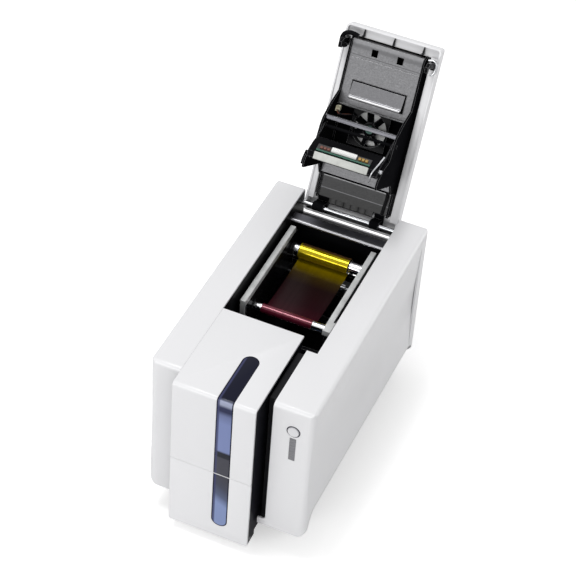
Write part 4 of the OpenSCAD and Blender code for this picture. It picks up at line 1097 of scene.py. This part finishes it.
# %% Parts on the head's board
board_frame = lid_turn @ Matrix(((1, 0, 0, 0), (0, -BOARD_RISE, -BOARD_LEAN, -BOARD_S * MM),
                                 (0, BOARD_LEAN, -BOARD_RISE, -BOARD_T * MM), (0, 0, 0, 1)))


def board_block(name, x, v, w):
    """A block on the board: v runs up the board from its lower edge, and w stands off its face."""
    return start_block(name, (x[0], v[0], w[0]), (x[1], v[1], w[1]))


def finish_board_piece(piece, slot, finish):
    settle(piece)
    piece.matrix_world = board_frame
    finish_piece(piece, "print_head", slot, finish)


plug = board_block("head_connector", (-19.5, 12.5), (2.6, 8.2), (0.1, 3.2))
pick_running(plug, "X")
bpy.ops.mesh.subdivide(number_cuts=15)
pick_facing(plug, "+Z")
inset(0.5, -1.1, each=True)
soften(plug, 0.15, 1)
finish_board_piece(plug, "strip_ceramic", "white_nylon")

# Each row: left and right end, bottom and top, back and front, inset, rise, round, spacing.
for kind, x, v, w, rim, rise, round_off, pitch in (
        ("brown", (-34, -30.4), (3.0, 6.2), (0.05, 1.9), 0.5, 0.25, 0.2, 4.5),
        ("gold", (15.0, 18.4), (3.2, 6.6), (0.05, 2.2), 0.6, 0.3, 0.25, 4.4)):
    part = board_block(f"{kind}_part", x, v, w)
    pick_facing(part, "+Z")
    inset(rim, rise)
    soften(part, round_off)
    pattern = part.data.copy()
    for number in range(3):
        if number:
            part = bpy.data.objects.new(f"{kind}_part_{number + 1}", pattern.copy())
            bpy.context.collection.objects.link(part)
            part.location.x = number * pitch * MM
        finish_board_piece(part, "board_green", f"part_{kind}")

# %% [markdown]
# ## Wiring
# A cream plug takes the fan's two leads at the left, and a bundle of three black leads runs down
# beside the right cheek to the hinge. Each lead is a smooth path through a few points, given its
# thickness and made a mesh.

# %% Plug and the way to make a lead
plug = lid_block("fan_plug", (-46.9, -41.5), (127.5, 134.5), (6.2, 14.0))
pick_facing(plug, "-Z")
inset(1.0, -2.0)
soften(plug, 0.35)
finish_lid_piece(plug, "strip_ceramic", "cream_nylon")


def lead(name, points, radius, finish, body="lid"):
    """A round lead through points given as (x, s, t), with the lid shut."""
    deselect()
    bpy.ops.curve.primitive_nurbs_path_add()
    path = bpy.context.object
    path.name = name
    line = path.data.splines[0]
    line.points.add(len(points) - len(line.points))
    for knot, (x, s, t) in zip(line.points, points):
        knot.co = (x * MM, -s * MM, -t * MM, 1)
    line.order_u = 4
    line.use_endpoint_u = True
    path.data.bevel_depth = radius * MM
    path.data.bevel_resolution = 3
    path.data.use_fill_caps = True
    only(path)
    bpy.ops.object.convert(target="MESH")
    path.location = (0, 0, 0)
    finish_lid_piece(path, "black_plastic", finish, body, 60)


# %% [markdown]
# ## Latch hooks and levers
# The lid's two hooks are bent from thick round stock, and so are the small levers and the spring at
# the print head's right end. Each is a path through a few points with a round section, like a lead.

# %% Hooks and levers
lead("hook_left", [(-42, 222, 5), (-47, 224, 6), (-53, 225, 9), (-59, 222.5, 11),
                   (-60.4, 216, 11.5), (-59.5, 209.5, 11.5), (-56, 207, 11), (-54, 209.5, 9)],
     3.0, "black_plastic", "latch")
lead("hook_right", [(50, 219, 7), (55, 220.5, 7), (60, 219, 8), (61.6, 213, 9),
                    (61.4, 207, 9.5), (59, 203, 9.5), (56, 203, 9)],
     1.5, "spring_steel", "latch")
lead("head_lever", [(44.5, 108, 80), (42, 101, 84), (38.5, 93, 88), (35.5, 86, 90),
                    (35, 79, 88), (35, 74, 85)], 1.0, "spring_steel", "print_head")
COIL_R, COIL_PITCH = 2.6, 0.96
coil_points = []
for number in range(33):
    angle = math.radians(number * 60)
    coil_points.append((41.5 + COIL_PITCH * number / 6, 90 + COIL_R * math.cos(angle),
                        84 + COIL_R * math.sin(angle)))
lead("head_coil", coil_points, 0.45, "spring_steel", "print_head")

# %% [markdown]
# ## The head's springs
# Two springs press the print head against the ribbon, and they shorten as the head is pushed
# back. The engineering springs are replaced by a copy with a mesh of its own.

# %% Head springs
springs = remake("head_springs", "pressed_springs", "lid", "spring_steel")
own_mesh(springs)

# %% Leads
for number, (side, lift) in enumerate(((0.0, 0.0), (2.3, 0.5), (1.1, 2.2))):
    lead(f"side_lead_{number + 1}", [
        (37.5 + side, 84, 10 + lift), (37.8 + side, 74, 10.4 + lift), (38.6 + side, 62, 10 + lift),
        (37.0 + side, 54, 8 + lift), (37.5 + side, 48, 1), (38.6 + side, 42, -3.4 + 0.3 * lift),
        (38.4 + side, 32, -3.6 + 0.3 * lift), (37.2 + side, 22, -3.6 + 0.3 * lift),
        (36.8 + side, 14, -3.6 + 0.3 * lift)], 1.0, "black_plastic")
for number, (side, finish) in enumerate(((0.0, "part_brown"), (1.6, "black_plastic"))):
    lead(f"fan_lead_{number + 1}", [
        (-44.9 + side, 129, 12), (-42.5 + side, 127, 19), (-36 + side, 126, 17),
        (-31 + side, 127, 8), (-26 + side, 126, 1.5), (-22 + side, 125, -0.6)], 0.7, finish)
